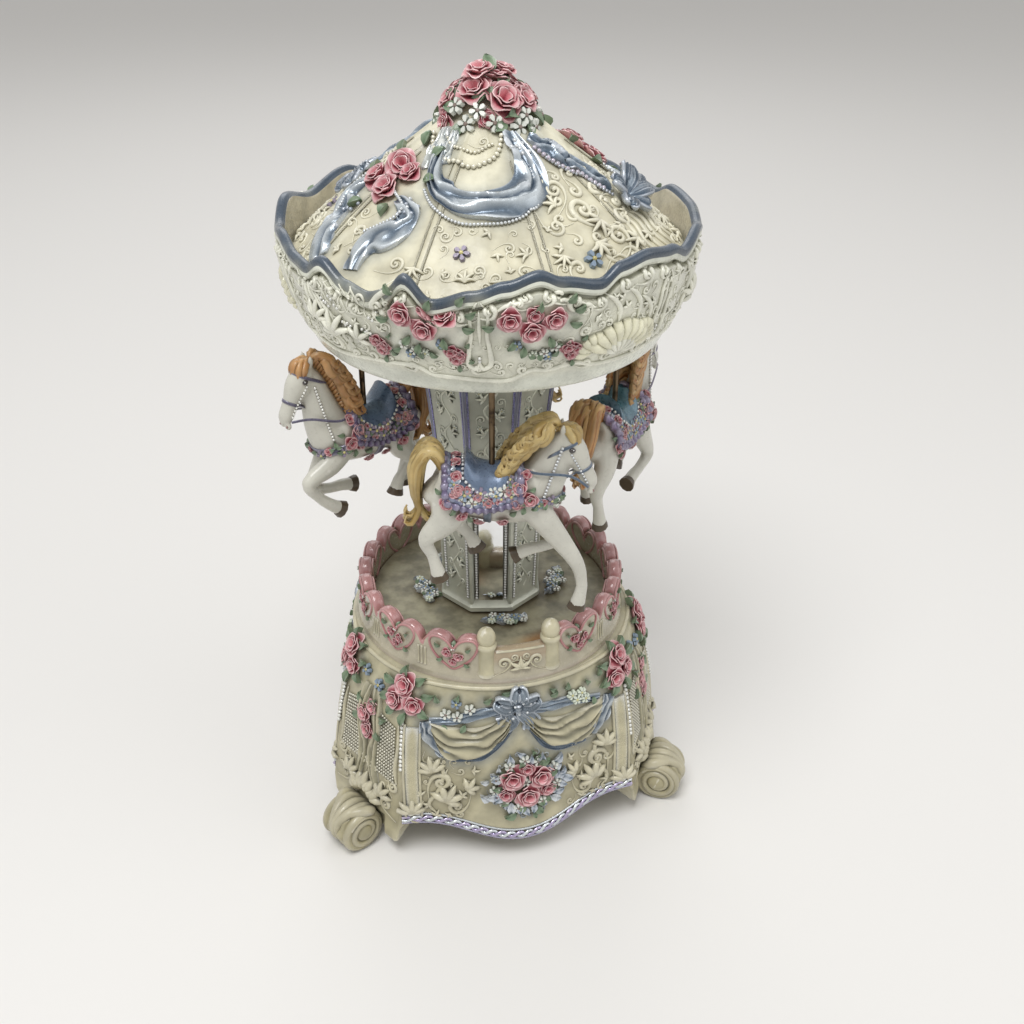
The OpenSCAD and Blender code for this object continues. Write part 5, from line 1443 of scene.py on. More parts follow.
    def satin(self, line, wide, lit_ridge, shaded_valley, **more):
        """A band of cloth along a line, with edges that wave"""
        line = smooth(line, 2)
        grades = [(k / (len(wide) - 1), w) for k, w in enumerate(wide)]
        upper, lower = [], []
        for i, (a, v) in enumerate(line):
            t = i / (len(line) - 1)
            r = max(v if self.ground.slope else self.ground.spot(self.origin + a, v)[0].xy.length, 4)
            (a0, v0), (a1, v1) = line[max(i - 1, 0)], line[min(i + 1, len(line) - 1)]
            way = Vector((radians(a1 - a0) * r, v1 - v0)).normalized()
            for side, edge in ((1, upper), (-1, lower)):
                w = side * at(grades, t) * (1 + 0.16 * sin(11 * t + 1.6 * side + more.get("phase", 0)))
                edge.append((a - degrees(way.y * w / r), v + way.x * w))
        self.cloth(upper, lower, lit_ridge, shaded_valley, **more)

    def net(self, corners, count, tint, kind="seed_pearls", lift=0.35):
        """Seed pearls in rows across a four-sided field"""
        (a, b), (c, d) = corners
        for k in range(count):
            t = k / (count - 1)
            self.bead([tuple(mix(p, q, t) for p, q in zip(a, b)), tuple(mix(p, q, t) for p, q in zip(c, d))],
                tint, kind, lift, 3)

    def shade_and_wash_round(self, shell, shade_washes, reach=2.6, most=0.6):
        """Painted shade in the shell round the ornament, along with an old wash, darker the nearer the
        ornament lies
        """
        for kinds, wash_and_shade in shade_washes:
            places = [p for name, kind in self.kinds.items() if name in kinds for p in kind.points]
            tree = KDTree(len(places))
            for k, p in enumerate(places):
                tree.insert(p, k)
            tree.balance()
            tints = shell.data.attributes["tint"].data
            for v, tint in zip(shell.data.vertices, tints):
                away = tree.find(v.co / MM)[2]
                if away is not None and away < 2.5 * reach:
                    amount = most * exp(-(away / reach) ** 2)
                    tint.color = (*mixed(tint.color[:3], wash_and_shade, amount), 1)

    def grow(self):
        for name, kind in self.kinds.items():
            label = f"{self.name}_{name}"
            if name in BLOOMS:
                flower, paint = BLOOMS[name]
                kind.grown(label, self.body, "rose_paint", paint, flower, crease=50)
            elif name in CLOTHS:
                kind.made(label, self.body, self.slot, CLOTHS[name] or self.paint or resin, crease=70)
            elif name in BEADS:
                kind.beaded(label, self.body, self.slot, pearl_paint, BEADS[name][0])
            else:
                outline, paint = BANDS[name]
                if paint is resin and self.paint:
                    paint = self.paint
                kind.swept(label, self.body, self.slot, paint, outline, crease=0)


# ---- The base's ornament ----

LOBE = 180 / 13                      # the parapet's lobes stand this far apart
LOBE_R = 4.8                         # how high a lobe rises
POST_INSET = 1.8                     # the gate posts' middles inside the parapet's face


def bow(garden, a, v, size, tint, tail=((-1.5, -3.6), (1.4, -4.2)),
        loops=((-2.5, 0.9), (2.5, 0.7), (0.2, 2.6))):
    """Loops that swell from the knot, and tails that hang from it"""
    for x, y in loops:
        for side in (-0.5, 0.5):
            line = [(0, 0, 0.3), (0.5 * x - side * y * 0.45, 0.5 * y + side * x * 0.45, 0.9),
                (x - side * y * 0.3, y + side * x * 0.3, 0.7), (x * 1.02, y * 1.02, 0.1)]
            garden.draw("bows", a, v, line, (0.3, 0.75, 0.7, 0.25), tint, size, steps=4)
    for k, (x, y) in enumerate(tail):
        line = [(0, 0, 0.2), (0.55 * x - 0.4, 0.35 * y, 0.5), (0.6 * x + 0.5, 0.7 * y, 0.2), (x, y, 0.15)]
        garden.draw("bows", a, v, line, (0.3, 0.6, 0.75, 0.85), tint, size, steps=4)
    garden.draw("bows", a, v, [(-0.55, 0, 0.6), (0, 0, 1.1), (0.55, 0, 0.6)], (0.5, 0.65, 0.5), tint, size)


def base_ornament(shell):
    g = Garden("base", "base", "cream_resin", Ground(shell, least=40))
    g.tint = CREAM
    sash, satin, lavender = (0.09, 0.13, 0.18), (0.24, 0.29, 0.34), (0.42, 0.36, 0.56)
    # fold and corner_fold colour the valleys of the drapery's folds, and sash those of the satin: painted
    # shade
    fold, corner_fold = (0.20, 0.19, 0.13), (0.24, 0.23, 0.15)
    middle = (1.2, 31)               # of the bouquet on each face
    for face in FACES:
        g.origin = face
        # Sash, bow and drapery across the face
        g.satin([(-35, 57.6), (-27, 58.6), (-19.2, 60.4), (-11, 62.2), (-2.3, 63.4)], (1.2, 1.9, 1.8), satin,
            sash, folds=2, deep=0.9)
        g.satin([(-2.3, 63.4), (7, 61.6), (15.7, 60.9), (23, 60.2), (33, 58)], (1.8, 1.9, 1.2), satin, sash,
            folds=2, deep=0.9)
        bow(g, -2.0, 63.8, 2.5, satin, ((-1.5, -3.4), (1.4, -3.8), (-2.6, -2.4), (2.4, -2.8)))
        g.heap("pearls", -2.0, 63.8, 9, 4.4, 9, 2.6, 0.5, (SILVER,))
        g.cloth([(-35, 57.4), (-28, 56), (-18, 55.6), (-10, 58), (-4.2, 62)], [(-33.4, 52), (-28, 43.4),
            (-16.4, 44.6), (-9.2, 50), (-4.2, 56.4)], CREAM, fold, 3.1, 2.2, 0.5, 1.2, 0.4, "folds", 30)
        g.cloth([(0.4, 62), (6, 58), (15, 55.6), (26, 56), (34, 57.4)], [(0.5, 56.8), (8, 48), (15.2, 44.2),
            (25.6, 44), (33, 51)], CREAM, fold, 3.1, 2.2, 0.5, 1.2, 2.0, "folds", 30)
        # A dark band along the lower edge of each swag, in sash and BLUE: painted shadow under the drapery
        for lower in ([(-28, 42.2), (-16.4, 43.6), (-9.2, 49), (-4.2, 55.4)],
                [(2, 55), (8.6, 46.6), (15.2, 43), (26.5, 42.6)]):
            g.satin(lower, (0.7, 1.4, 1.0), sash, BLUE, folds=1.5, deep=0.5, lift=0.1)
        # The central bouquet in its frame of silvery leaves
        chance = random.Random(17)
        for k in range(44):
            u, far = TWIRL * k + chance.uniform(-0.3, 0.3), chance.uniform(0.62, 1.12)
            p, n = g.ground.near(face + middle[0], middle[1], 12.6 * far * cos(u), 11.4 * far * sin(u), 0.2)
            g.kind(("blue_leaves", "silver_leaves", "blue_leaves", "leaves")[k % 4]).set((p, n),
                chance.uniform(2.6, 4.6), degrees(u) - 90 + chance.uniform(-60, 60), chance.uniform(4, 24))
        # Grey scrolls ring the bouquet, widening the painted shade round it
        for k in range(16):
            u = TWIRL * k
            g.scroll(middle[0] + 13.4 * cos(u), middle[1] + 13 * sin(u), 1.1, 77 * k, (-1) ** k,
                (0.28, 0.32, 0.33), 0.8, 1.8)
        for k in range(9):
            u = 2 * pi * (k + 0.5) / 9
            p, n = g.ground.near(face + 1.0, 31.2, 8.2 * cos(u), 7.6 * sin(u), 0.5)
            g.kind("leaves").set((p, n), 3.6, degrees(u) - 90, 16)
        g.roses(((-4.2, 35.0, 5.4), (6.6, 34.4, 5.4), (1.4, 27.2, 5.2), (1.2, 38.2, 3.4), (-6.8, 28.6, 3.6),
            (9.0, 28.4, 3.6)), 70, 0.9)
        for a, v in ((0.3, 42.0), (-10.4, 35), (-7.6, 25.4), (6.6, 23.8), (-10.8, 30.4), (-2.4, 22.6),
                (12.6, 29.6), (5.4, 40.6), (-5.4, 40.2), (11.6, 37), (0.6, 33)):
            g.bloom("daisies", a, v, 2.0, 20 * v, 1.3)
        # Corner clusters
        g.cluster([(-44.8, 68.8), (-48.2, 63), (-40.8, 63.4)], 5.0, 8)
        g.cluster([(43.6, 69.2), (39.8, 63), (47, 63.4)], 5.0, 8)
        g.cluster([(-62.2, 50.6), (-60, 45), (-58.2, 55)], 4.4, 6)
        g.bloom("blue_flowers", -57, 64, 2.4, 10, 0.7)
        g.bloom("blue_flowers", 55, 66, 2.4, 10, 0.7)
        for a, v in ((-29.1, 61.2), (-24.9, 60.4), (-20.2, 63.4)):
            g.bloom("daisies", a, v, 2.1, 11 * a, 1.1)
        g.leaves(((-32, 65, 20), (-26, 66, -30), (-22, 57, 150), (-15, 66, -60), (-8, 69, -75),
            (-30, 57, 200)), 3.2, 0.4, 14)
        g.bloom("blue_flowers", -25.4, 65.2, 2.0, 0, 0.8)
        for k, (a, v) in enumerate(((22.4, 60.8), (24.6, 63), (20.4, 63.2), (26.2, 60.2))):
            g.bloom("pale_flowers", a, v, 2.0, 33 * k, 1.1)
        g.leaves(((28.4, 64.6, 30), (18, 65.6, -20), (14, 66.8, 60), (30, 59, 170), (11.5, 65, -60),
            (33, 66, -10)), 3.0, 0.4, 14)
        # Pilasters, with a string of pearls beside each
        for side in (-1, 1):
            g.trace("ribbons", [(side * 40.4, 55), (side * 39.9, 36), (side * 38.8, 19.5)], 2.3, CREAM, 0.35)
            for off in (2.6, -2.6):
                g.carve([(side * (40.4 + off * 0.95), 56), (side * (39.9 + off * 0.9), 37),
                    (side * (38.8 + off * 0.85), 18.8)], 0.5, 0.4)
            g.bead([(side * 43.9, 57.4), (side * 43.3, 47), (side * 42.9, 38.5)], lift=0.6)
            g.scroll(side * 38.5, 17.8, 1.9, 90, side, turns=1.1)
            g.fan(side * 39.6, 20.5, 6.0, 0, 5, 110)
            # Acanthus that fills the panel between the pilaster and the bouquet
            g.scroll(side * 30.5, 33, 3.4, 100 * side, side, tail=3.0)
            g.scroll(side * 25, 22.4, 2.8, -60 * side, side, tail=2.8)
            g.fan(side * 29, 25, 7.4, side * 28, 5, 120, side)
            g.fan(side * 33.4, 37.6, 6.2, side * -14, 5, 100, side)
            g.fan(side * 21.6, 30.5, 5.4, side * 60, 4, 90, side)
            g.carve([(side * 34, 42), (side * 30, 38), (side * 31, 30), (side * 34.4, 24), (side * 32, 19.6)],
                (0.3, 0.8, 0.9, 0.7, 0.3), 0.3)
            # The corner block: long folds, a net of seed pearls and a leaf over the foot
            fall = [[(side * (x + wide), v) for x, v in ((57, 62), (55.4, 48), (57, 36), (54.6, 24))]
                for wide in (-1.6, 2.6)]
            g.cloth(fall[0], fall[1], CREAM, corner_fold, 2.0, 1.8, 0.3, 0.8, 0, "folds", 20)
            g.carve([(side * 45.6, 54), (side * 44.9, 46), (side * 45.8, 37), (side * 44.8, 31)],
                (0.3, 0.8, 0.9, 0.3), 0.3)
            g.scroll(side * 49.4, 19.4, 2.6, 30 * side, side)
            g.fan(side * 51.5, 21.5, 6.2, side * -6, 5, 120, side)
            g.scroll(side * 46.4, 29, 2.2, 90 * side, -side, tail=3.2)
        for side in (-1, 1):
            g.net((((side * 47.2, 52), (side * 46.4, 31)), ((side * 54.6, 54), (side * 54.4, 31))), 17,
                (0.48, 0.46, 0.35))
            g.field((46 if side > 0 else -58, 22), (58 if side > 0 else -46, 31), 3.4, 1.5, tint=CREAM,
                seed=5 + side)
            g.field((19 if side > 0 else -37, 18.5), (37 if side > 0 else -19, 42), 4.2, 1.7,
                [(side * 30.5, 33, 3.6), (side * 25, 22.4, 3.4), (side * 29, 26.5, 3.6),
                (side * 33.4, 39, 3.4)], CREAM, 9)
            # Satin that falls from the ends of the drapery
            ends = [(side * 36.6, 57.6), (side * 35.2, 53.4), (side * 31.6, 48.4), (side * 28.4, 44.4)]
            g.satin(ends, (1.8, 2.6, 2.0), (0.44, 0.48, 0.50), sash, folds=2, deep=1.5)
        for k in range(5):
            g.fan(60 + (k - 2) * 1.6, 17 + 1.2 * (2 - abs(k - 2)), 7.4, (2 - k) * 17, 3, 46, wide=0.24)
        g.scroll(57.6, 31, 2.3, 90, 1)
        g.scroll(62.4, 31, 2.3, 90, -1)
        # The braided trim along the lower edge
        plait = 0.95
        steps = [k * 0.8 - BLOCK_EDGE for k in range(106)]
        for phase, tint in ((0, SILVER), (pi, lavender)):
            g.trace("trim", [(a, edge_z(face + a) + 2.5 + 0.85 * sin(a * plait + phase),
                0.35 + 0.3 * cos(a * plait + phase)) for a in steps], 0.62, tint, 0.1, 1)
        for up, tint in ((0.7, (0.42, 0.40, 0.56)), (4.3, SILVER)):
            g.trace("trim", [(a, edge_z(face + a) + up) for a in steps], 0.42, tint, 0.15, 1)
    g.origin = 0
    g.carve([(a, 71.0) for a in range(-180, 180, 4)], 0.8, 0.1, steps=1, loop=True)
    # Painted shade round the base's ornament: olive with the wash round the carving and pearls, grey round
    # the flowers and cloth
    g.shade_and_wash_round(shell, ((("carving", "pearls"), OLIVE_SHADE_WASH), (("roses", "leaves", "blue_leaves", "daisies", "bows",
        "satin"), SHADOW_GREY)))
    g.grow()


def scroll_feet():
    """A rolled scroll under each corner, with a spiral on both ends"""
    clay, spirals = Clay(), Threads()
    half = FOOT_D / 2
    outline = [(0.05, -8.1), (2.2, -8.1), (2.9, -7.6), (3.6, -7.0), (half - 2.2, -7.2), (half - 1.2, -7.5),
        (half - 0.4, -7.0), (half, -6.0), (half - 0.25, -5.0), (half - 0.65, -4.4), (half - 0.3, -3.8),
        (half - 0.1, -2), (half - 0.1, 0)]
    outline += [(r, -y) for r, y in outline[-2::-1]]
    for a in (90, 210, 330):
        stand = Matrix.Rotation(radians(a), 3, "Z")
        rows = []
        for r, y in outline:
            ring = []
            for k in range(48):
                u = 2 * pi * k / 48
                flute = 0.3 * cos(8 * u) if abs(y) < 4.2 else 0
                ring.append(stand @ Vector((FOOT_R + (r + flute) * cos(u), y,
                    max(FOOT_Z + (r + flute) * sin(u), 0.0))))
            rows.append(ring)
        clay.add(*skin(rows), SHELL)
        for y, last in ((0, -34), (-3.6, -14), (3.6, -14), (-6.2, 22), (6.2, 22)):
            line = []
            for k in range(18):
                t = k / 17
                u, r = radians(mix(150, last, t)), half - 0.5 + 0.8 * sin(pi * t)
                across = y * (0.35 + 0.65 * sin(pi * min(t * 1.3 + 0.1, 1)))
                line.append((stand @ Vector((FOOT_R + r * cos(u), across, FOOT_Z + r * sin(u))),
                    stand @ Vector((cos(u), 0, sin(u)))))
            spirals.run(line, (1.0, 1.9, 1.7, 0.4), SHELL)
        for side in (-1, 1):
            line = []
            for k in range(40):
                u, r = 0.6 + 2 * pi * 1.9 * k / 39, mix(half - 1.6, 2.4, k / 39)
                z = max(FOOT_Z + r * sin(u), 0.7)
                line.append((stand @ Vector((FOOT_R + side * r * cos(u), side * 7.1, z)),
                    stand @ Vector((0, side, 0))))
            spirals.run(line, (0.7, 1.25, 1.15, 0.8), SHELL)
    made = clay.made("foot_scrolls", "base", "cream_resin", resin, stands_for=["scroll_feet"])
    spirals.swept("foot_spirals", "base", "cream_resin", resin, carved_bead, crease=0)
    return made


def parapet_top(a):
    """The wall's height: two lobes to each heart, and a step where the gate is"""
    off = from_gate(a)
    if abs(off) < LOBE:
        return PARAPET_TOP
    k = round(off / LOBE - 0.5)
    d = radians(off - (k + 0.5) * LOBE) * PARAPET_R
    return PARAPET_TOP + sqrt(max(LOBE_R ** 2 - d * d, 0))


def parapet_wall():
    turns = [k * 0.6 for k in range(600)]
    inner, outer, bench = PARAPET_R - PARAPET_T, PARAPET_R, 79.2
    wall, pink, inside = (0.46, 0.42, 0.31), (0.46, 0.23, 0.225), (0.33, 0.30, 0.21)
    rows, tints = [], []
    for r, level, down, tint in ((inner, SHOULDER, None, inside), (inner, STAGE, None, inside),
            (inner, 79.3, None, inside), (inner, 0, 3.0, inside), (inner + 0.05, 0, 1.6, pink),
            (inner + 0.35, 0, 0.6, pink), (inner + 1, 0, 0.12, pink), (inner + 2.1, 0, 0, pink),
            (outer - 1, 0, 0.12, pink), (outer - 0.35, 0, 0.5, pink), (outer - 0.05, 0, 1.1, pink),
            (outer, 0, 1.5, wall), (outer, 0, 3.2, wall), (outer, 78.4, None, wall),
            (outer + 0.3, SHOULDER + 3.4, None, wall), (outer + 1.1, SHOULDER + 2.6, None, wall),
            (outer + 1.2, SHOULDER + 2.0, None, wall), (outer + 1.2, SHOULDER, None, wall)):
        row = []
        for a in turns:
            top = parapet_top(a)
            row.append(polar(r, a, level if down is None else max(top - down, bench)))
            gate = abs(from_gate(a)) < LOBE + 1
            if gate and down is not None:
                tints.append(mixed(wall, RUST, 0.3))
            else:
                tints.append(stained(tint, a) if tint is inside else tint)
        rows.append(row)
    points, faces = skin(rows, ends=False, loop=True)
    return piece("parapet_wall", "base", "pink_resin", parapet_paint, points, faces, tints,
        stands_for=["parapet"], crease=50)


HALF_HEART = [(0, 75.8), (2.9, 77.4), (6.0, 80), (8.1, 83.2), (8.9, 86.4), (7.4, 88.6), (4.6, 88.7),
(2.0, 87.2),
              (0, 84.6)]
HEART = HALF_HEART + [(-x, z) for x, z in HALF_HEART[-2:0:-1]]


def hearts():
    """A heart on the outside and the inside of each pair of lobes"""
    line = Threads()
    for r, out, tint, size in ((PARAPET_R, 1, (0.42, 0.17, 0.17), 0.92), (PARAPET_R - PARAPET_T, -1,
            (0.34, 0.16, 0.14), 0.84)):
        path = []
        for x, z in smooth(HEART, 3, True):
            a = degrees(x * size / PARAPET_R)
            z = mix(82, z, size)
            path.append((polar(r + 0.12 * out, a, z), polar(out, a)))
        line.run(path if out > 0 else path[::-1], 0.42, tint, True)
    mesh = grown("heart", line.seed(), STRANDS, rose_paint, Profile=carved_bead)
    pattern(mesh)
    first = radians(-90 + 2 * LOBE)
    made = grown("parapet_hearts", seed_mesh([(0, 0, 0)]), RING, rose_paint, Panel=mesh, Count=12,
        First=first, Step=radians(2 * LOBE))
    return finish(made, "base", "rose_paint", rose_paint, crease=0)


def parapet_ornament(wall):
    g = Garden("parapet", "base", "cream_resin", Ground(wall, least=PARAPET_R - 1))
    g.tint = PINK
    for k in range(1, 13):
        g.origin = -90 + 2 * LOBE * k
        for a, v, size in ((-2.6, 82.6, 1.9), (2.4, 81.6, 1.9), (0, 79.2, 1.7)):
            g.bloom("roses", a, v, size, 60 * k + 40 * a, 0.3)
        g.leaves(((-5.4, 84.6, 60), (5.2, 84.2, -60), (-4.4, 80, 110), (4.6, 79, -110), (0, 85, 0)), 2.2, 0.3,
            12)
        g.bloom("daisies", -0.2, 84, 1.0, 15 * k, 0.6)
        # A rail of small balusters between this heart and the next
        for a in (-LOBE - 1.6, -LOBE, -LOBE + 1.6) if k > 1 else ():
            g.carve([(a, 75.6), (a, 79), (a, 82.6)], (0.5, 0.28, 0.5), 0.1, tint=CREAM)
    g.origin = -90
    for a, v, size, turn in ((-6.8, 79.4, 2.3, 40), (6.8, 79.4, 2.3, -40), (0, 78.4, 1.7, 180),
            (-2.6, 81.4, 1.3, 20), (2.6, 81.4, 1.3, -20)):
        g.scroll(a, v, size, turn, 1 if a < 0 else -1, CREAM, breadth=0.26)
    for turn in (-50, 50, 0):
        g.fan(0, 77, 4.6, turn, 3, 50, 1, CREAM, wide=0.12)
    g.carve([(-10, 83.8), (0, 84), (10, 83.8)], 0.4, 0.1, tint=CREAM)
    g.grow()


def gate_posts():
    """The two newels, each with a moulded cap"""
    clay = Clay()
    outline = [(0.05, SHOULDER + 2.4), (3.5, SHOULDER + 2.4), (3.5, 75.6), (3.2, 76.2), (3.1, 77),
        (3.0, 84.6), (3.35, 85.2), (3.4, 86.2), (3.0, 86.8), (2.7, 87), (3.0, 87.8), (3.1, 89), (2.8, 90.4),
        (2.1, 91.6), (1.1, 92.3), (0.05, 92.5)]
    for side in (-1, 1):
        centre = polar(PARAPET_R - POST_INSET, side * (LOBE + 0.2) - 90)
        rows = [[centre + Vector((r * cos(u), r * sin(u), z)) for u in (pi * k / 14 for k in range(28))]
            for r, z in outline]
        clay.add(*skin(rows), CREAM)
    return clay.made("gate_newels", "base", "cream_resin", resin, stands_for=["gate_posts"], crease=50)


# ---- The canopy's ornament ----

def crown_ornament(crown):
    g = Garden("crown", "carousel", "canopy_resin", Ground(crown, least=45), canopy_paint)
    g.tint = PEARL
    shell_gold = (0.80, 0.78, 0.58)
    # Where these stand from the middle of each third
    bunch_left, bunch_right, small_bunches, drops = -16.7, 9.6, (-30, -9.4, 20.6), (-3.4, 50.5)
    bunch_leaves = ((-7.6, 210.6, 40), (-9.4, 203.4, 80), (-4.2, 199, 140), (0.8, 207.4, -20),
        (4.4, 199.4, 200), (9.4, 203, -90), (8.2, 209.4, -40), (-1.8, 197, 165), (10.2, 206.6, -60))
    small_leaves = ((-2.8, 196.4, 60), (2.8, 193, -110), (0.8, 190.8, 180), (2.4, 197, -40))
    for third in (-120, 0, 120):
        g.origin = FRONT + third
        for first, flip in ((bunch_left, 1), (bunch_right, -1)):
            for k, (off, z, size) in enumerate(((-5.6, 205.6, 3.9), (-0.2, 202, 4.0), (5.2, 205.2, 3.8),
                    (0.2, 206.6, 2.9))):
                g.bloom("roses", first + off, z, size, 60 * k + 20, 0.5 if k < 3 else 0.1)
            g.leaves([(first + off, z, spin) for off, z, spin in bunch_leaves], 3.3, 0.3, 14)
            for kind, off, z, size, spin, lift in (("daisies", -6.0, 196.4, 1.7, 10, 0.7),
                    ("daisies", -3.4, 194.8, 1.5, 40, 0.7), ("blue_flowers", -4.6, 193.6, 1.7, 10, 0.6),
                    ("blue_flowers", 3.8, 197.8, 1.6, 50, 0.6), ("pale_flowers", -0.6, 194.4, 1.4, 50, 0.6)):
                g.bloom(kind, first + off * flip, z, size, spin, lift)
            for off, spin in ((-7.4, 110), (-2, 200), (0.6, -120)):
                g.bloom("leaves", first + off * flip, 194.6, 2.5, spin, 0.3, 10)
        for a in small_bunches:
            for k, (off, z) in enumerate(((-1.2, 195.4), (1.2, 194.6), (0.2, 193))):
                g.bloom("roses", a + off, z, 2.3, 50 * k, 0.3)
            g.leaves([(a + off, z, spin) for off, z, spin in small_leaves], 2.2, 0.2, 10)
        # A long drop between the two bunches, closed by a scroll
        for a in drops:
            for side in (-1, 1):
                g.carve([(a + side * 0.4, 210.4), (a + side * 2.1, 206.6), (a + side * 1.9, 201),
                    (a + side * 2.6, 196), (a + side * 2.9, 191.4), (a + side * 0.9, 189.9), (a, 192)],
                    (0.25, 0.55, 0.6, 0.8, 0.75, 0.3), 0.3)
                g.scroll(a + side * 4.6, 190.4, 1.25, 180, -side)
            g.carve([(a, 208), (a, 203), (a + 0.2, 197.6)], (0.2, 0.75, 0.2), 0.1)
            g.bead([(a, 193.6), (a, 192.6)], kind="seed_pearls", lift=0.5)
        # Volutes under the rim and down the right of the roses
        for a, z, size, turn, flip in ((7.4, 211.2, 1.9, 10, 1), (15.6, 211, 1.9, -10, -1),
                (22.9, 206.2, 1.9, 80, 1), (23.6, 199.8, 1.7, 100, -1), (-28.6, 206.8, 2.2, 100, -1),
                (-27.6, 200.6, 1.5, 70, 1), (27.4, 192.6, 1.4, 20, -1), (-36.4, 191.6, 1.5, 0, 1),
                (33, 190.6, 1.3, 0, 1), (15.4, 189.8, 1.3, 160, 1), (-20.4, 191.2, 1.2, 160, 1),
                (-14.6, 190.4, 1.2, 0, 1)):
            g.scroll(a, z, size, turn, flip)
        g.carve([(0.5, 207.6), (3.4, 209.6), (7, 210.2)], (0.3, 0.7, 0.5), 0.2)
        g.carve([(15.8, 210), (19.4, 209.4), (23.4, 207.6)], (0.5, 0.7, 0.3), 0.2)
        g.carve([(-24.4, 211.4), (-27.4, 210.2), (-30.4, 206.2), (-29.4, 202)], (0.3, 0.8, 0.8, 0.3), 0.2)
        # The shell
        g.scallop(35.4, 189.8, 11.4, -4, 9, 130, shell_gold)
        g.scallop(28.2, 192, 6.6, 34, 6, 110, shell_gold)
        g.scallop(42.2, 192.6, 6.6, -40, 6, 110, shell_gold)
        g.scallop(35.4, 189.8, 6.4, -4, 7, 120, PEARL, 0.9)
        for k, (a, z, size) in enumerate(((31, 206.4, 7.2), (37.6, 206.8, 7.6), (42.6, 203.4, 7),
                (44.4, 196.4, 6.4))):
            g.carve([(a - 2.6, z + 3), (a, z + 1), (a + 2.2, z - 2.4), (a + 2.4, z - size)],
                (0.25, 0.75, 0.8, 0.3), 0.2)
        for a, z in ((28.8, 204.4), (30.6, 201.6), (38.4, 200.6), (41.4, 192.6), (37.6, 190.6), (40, 188.4),
                (46, 190.6)):
            g.scroll(a, z, 0.95, 30 * a, 1, turns=0.9, tail=1.6)
        # Lattice and pearls, with long leaves behind
        for k in range(4):
            g.carve([(-57 + 2.3 * k, 209 - 1.4 * k), (-54 + 2.6 * k, 203 - k), (-53.5 + 3.2 * k, 196),
                (-50 + 3.4 * k, 190.4)], (0.25, 0.85, 0.8, 0.3), 0.3)
        for k in range(5):
            g.carve([(-50 + 3.4 * k, 210.2), (-47 + 3.2 * k, 206.4), (-45.4 + 3.2 * k, 202)],
                (0.2, 0.34, 0.2), 0.1)
            g.carve([(-36 - 3 * k, 209.6), (-38 - 3 * k, 206), (-38.6 - 3 * k, 202.2)], (0.2, 0.34, 0.2), 0.1)
        for k in range(14):
            a, z = -49.6 + 1.62 * k, 199.6 + 5 * sin(0.62 * k) + 1.6 * sin(2.3 * k)
            g.bead([(a, z), (a + 0.9, z - 0.7)], kind="seed_pearls", lift=0.25, steps=1)
        g.scroll(-47.6, 190.6, 2.6, 10, 1)
        g.scroll(-41.6, 193.4, 1.9, 150, 1)
        g.scroll(-55.4, 191, 2.4, 160, -1)
        g.fan(-44.6, 193.6, 8.4, 14, 5, 100, wide=0.13)
        g.fan(-51.4, 196.4, 7.4, -12, 5, 90, wide=0.13)
        g.fan(-37, 194.4, 6, -30, 4, 100, wide=0.14)
        # The line that wanders along the foot of the wall
        g.carve([(-60, 187.2), (-52, 186.2), (-45.6, 186.5), (-38.1, 187.6), (-32.5, 188.3), (-21.3, 188.9),
            (-16, 186.6), (-8.3, 186.1), (-2.1, 185.5), (4.8, 185.5), (9.9, 188.6), (15.2, 188.2),
            (22.5, 189.4), (29.5, 187.2), (42.9, 186.6), (52, 187.6), (60, 187.2)], 0.75, 0.15, steps=5)
        for k, a in enumerate(range(-58, 60, 6)):
            z = 189.2 + 0.8 * sin(1.7 * k)
            g.scroll(a, z, 1.4 + 0.3 * sin(2.3 * k), 20 * sin(3 * k), (-1) ** k, turns=1.1, tail=2.4,
                breadth=0.42)
        # Volutes that hang under the rim
        for k, a in enumerate(range(-57, 62, 7)):
            z = rim_z((a + third + 180) % 360 - 180) - 6.6
            g.scroll(a, z, 1.9 + 0.3 * sin(1.9 * k), 12 * sin(2 * k), (-1) ** k, turns=1.2, tail=2.2,
                breadth=0.42)
        clear = [*((a, 203.5, 9) for a in (bunch_left, bunch_right)), *((a, 194, 3) for a in small_bunches),
            *((a, 200, 3) for a in drops), (34, 193, 7)]
        g.field((-58, 192), (-26, 207), 3.5, 1.35, clear, seed=21)
        g.field((24, 192), (58, 208), 3.5, 1.35, clear, seed=22)
        g.field((-14, 190.5), (22, 197), 3.4, 1.1, clear, seed=23, sprigs=0.15)
    # Painted shade round the crown's ornament: pale olive with the wash round the carving, grey round the
    # flowers
    g.shade_and_wash_round(crown, ((("carving", "seed_pearls"), (0.54, 0.54, 0.43)),
        (("roses", "leaves", "blue_flowers"), SHADOW_GREY)), 2.2, 0.45)
    g.grow()


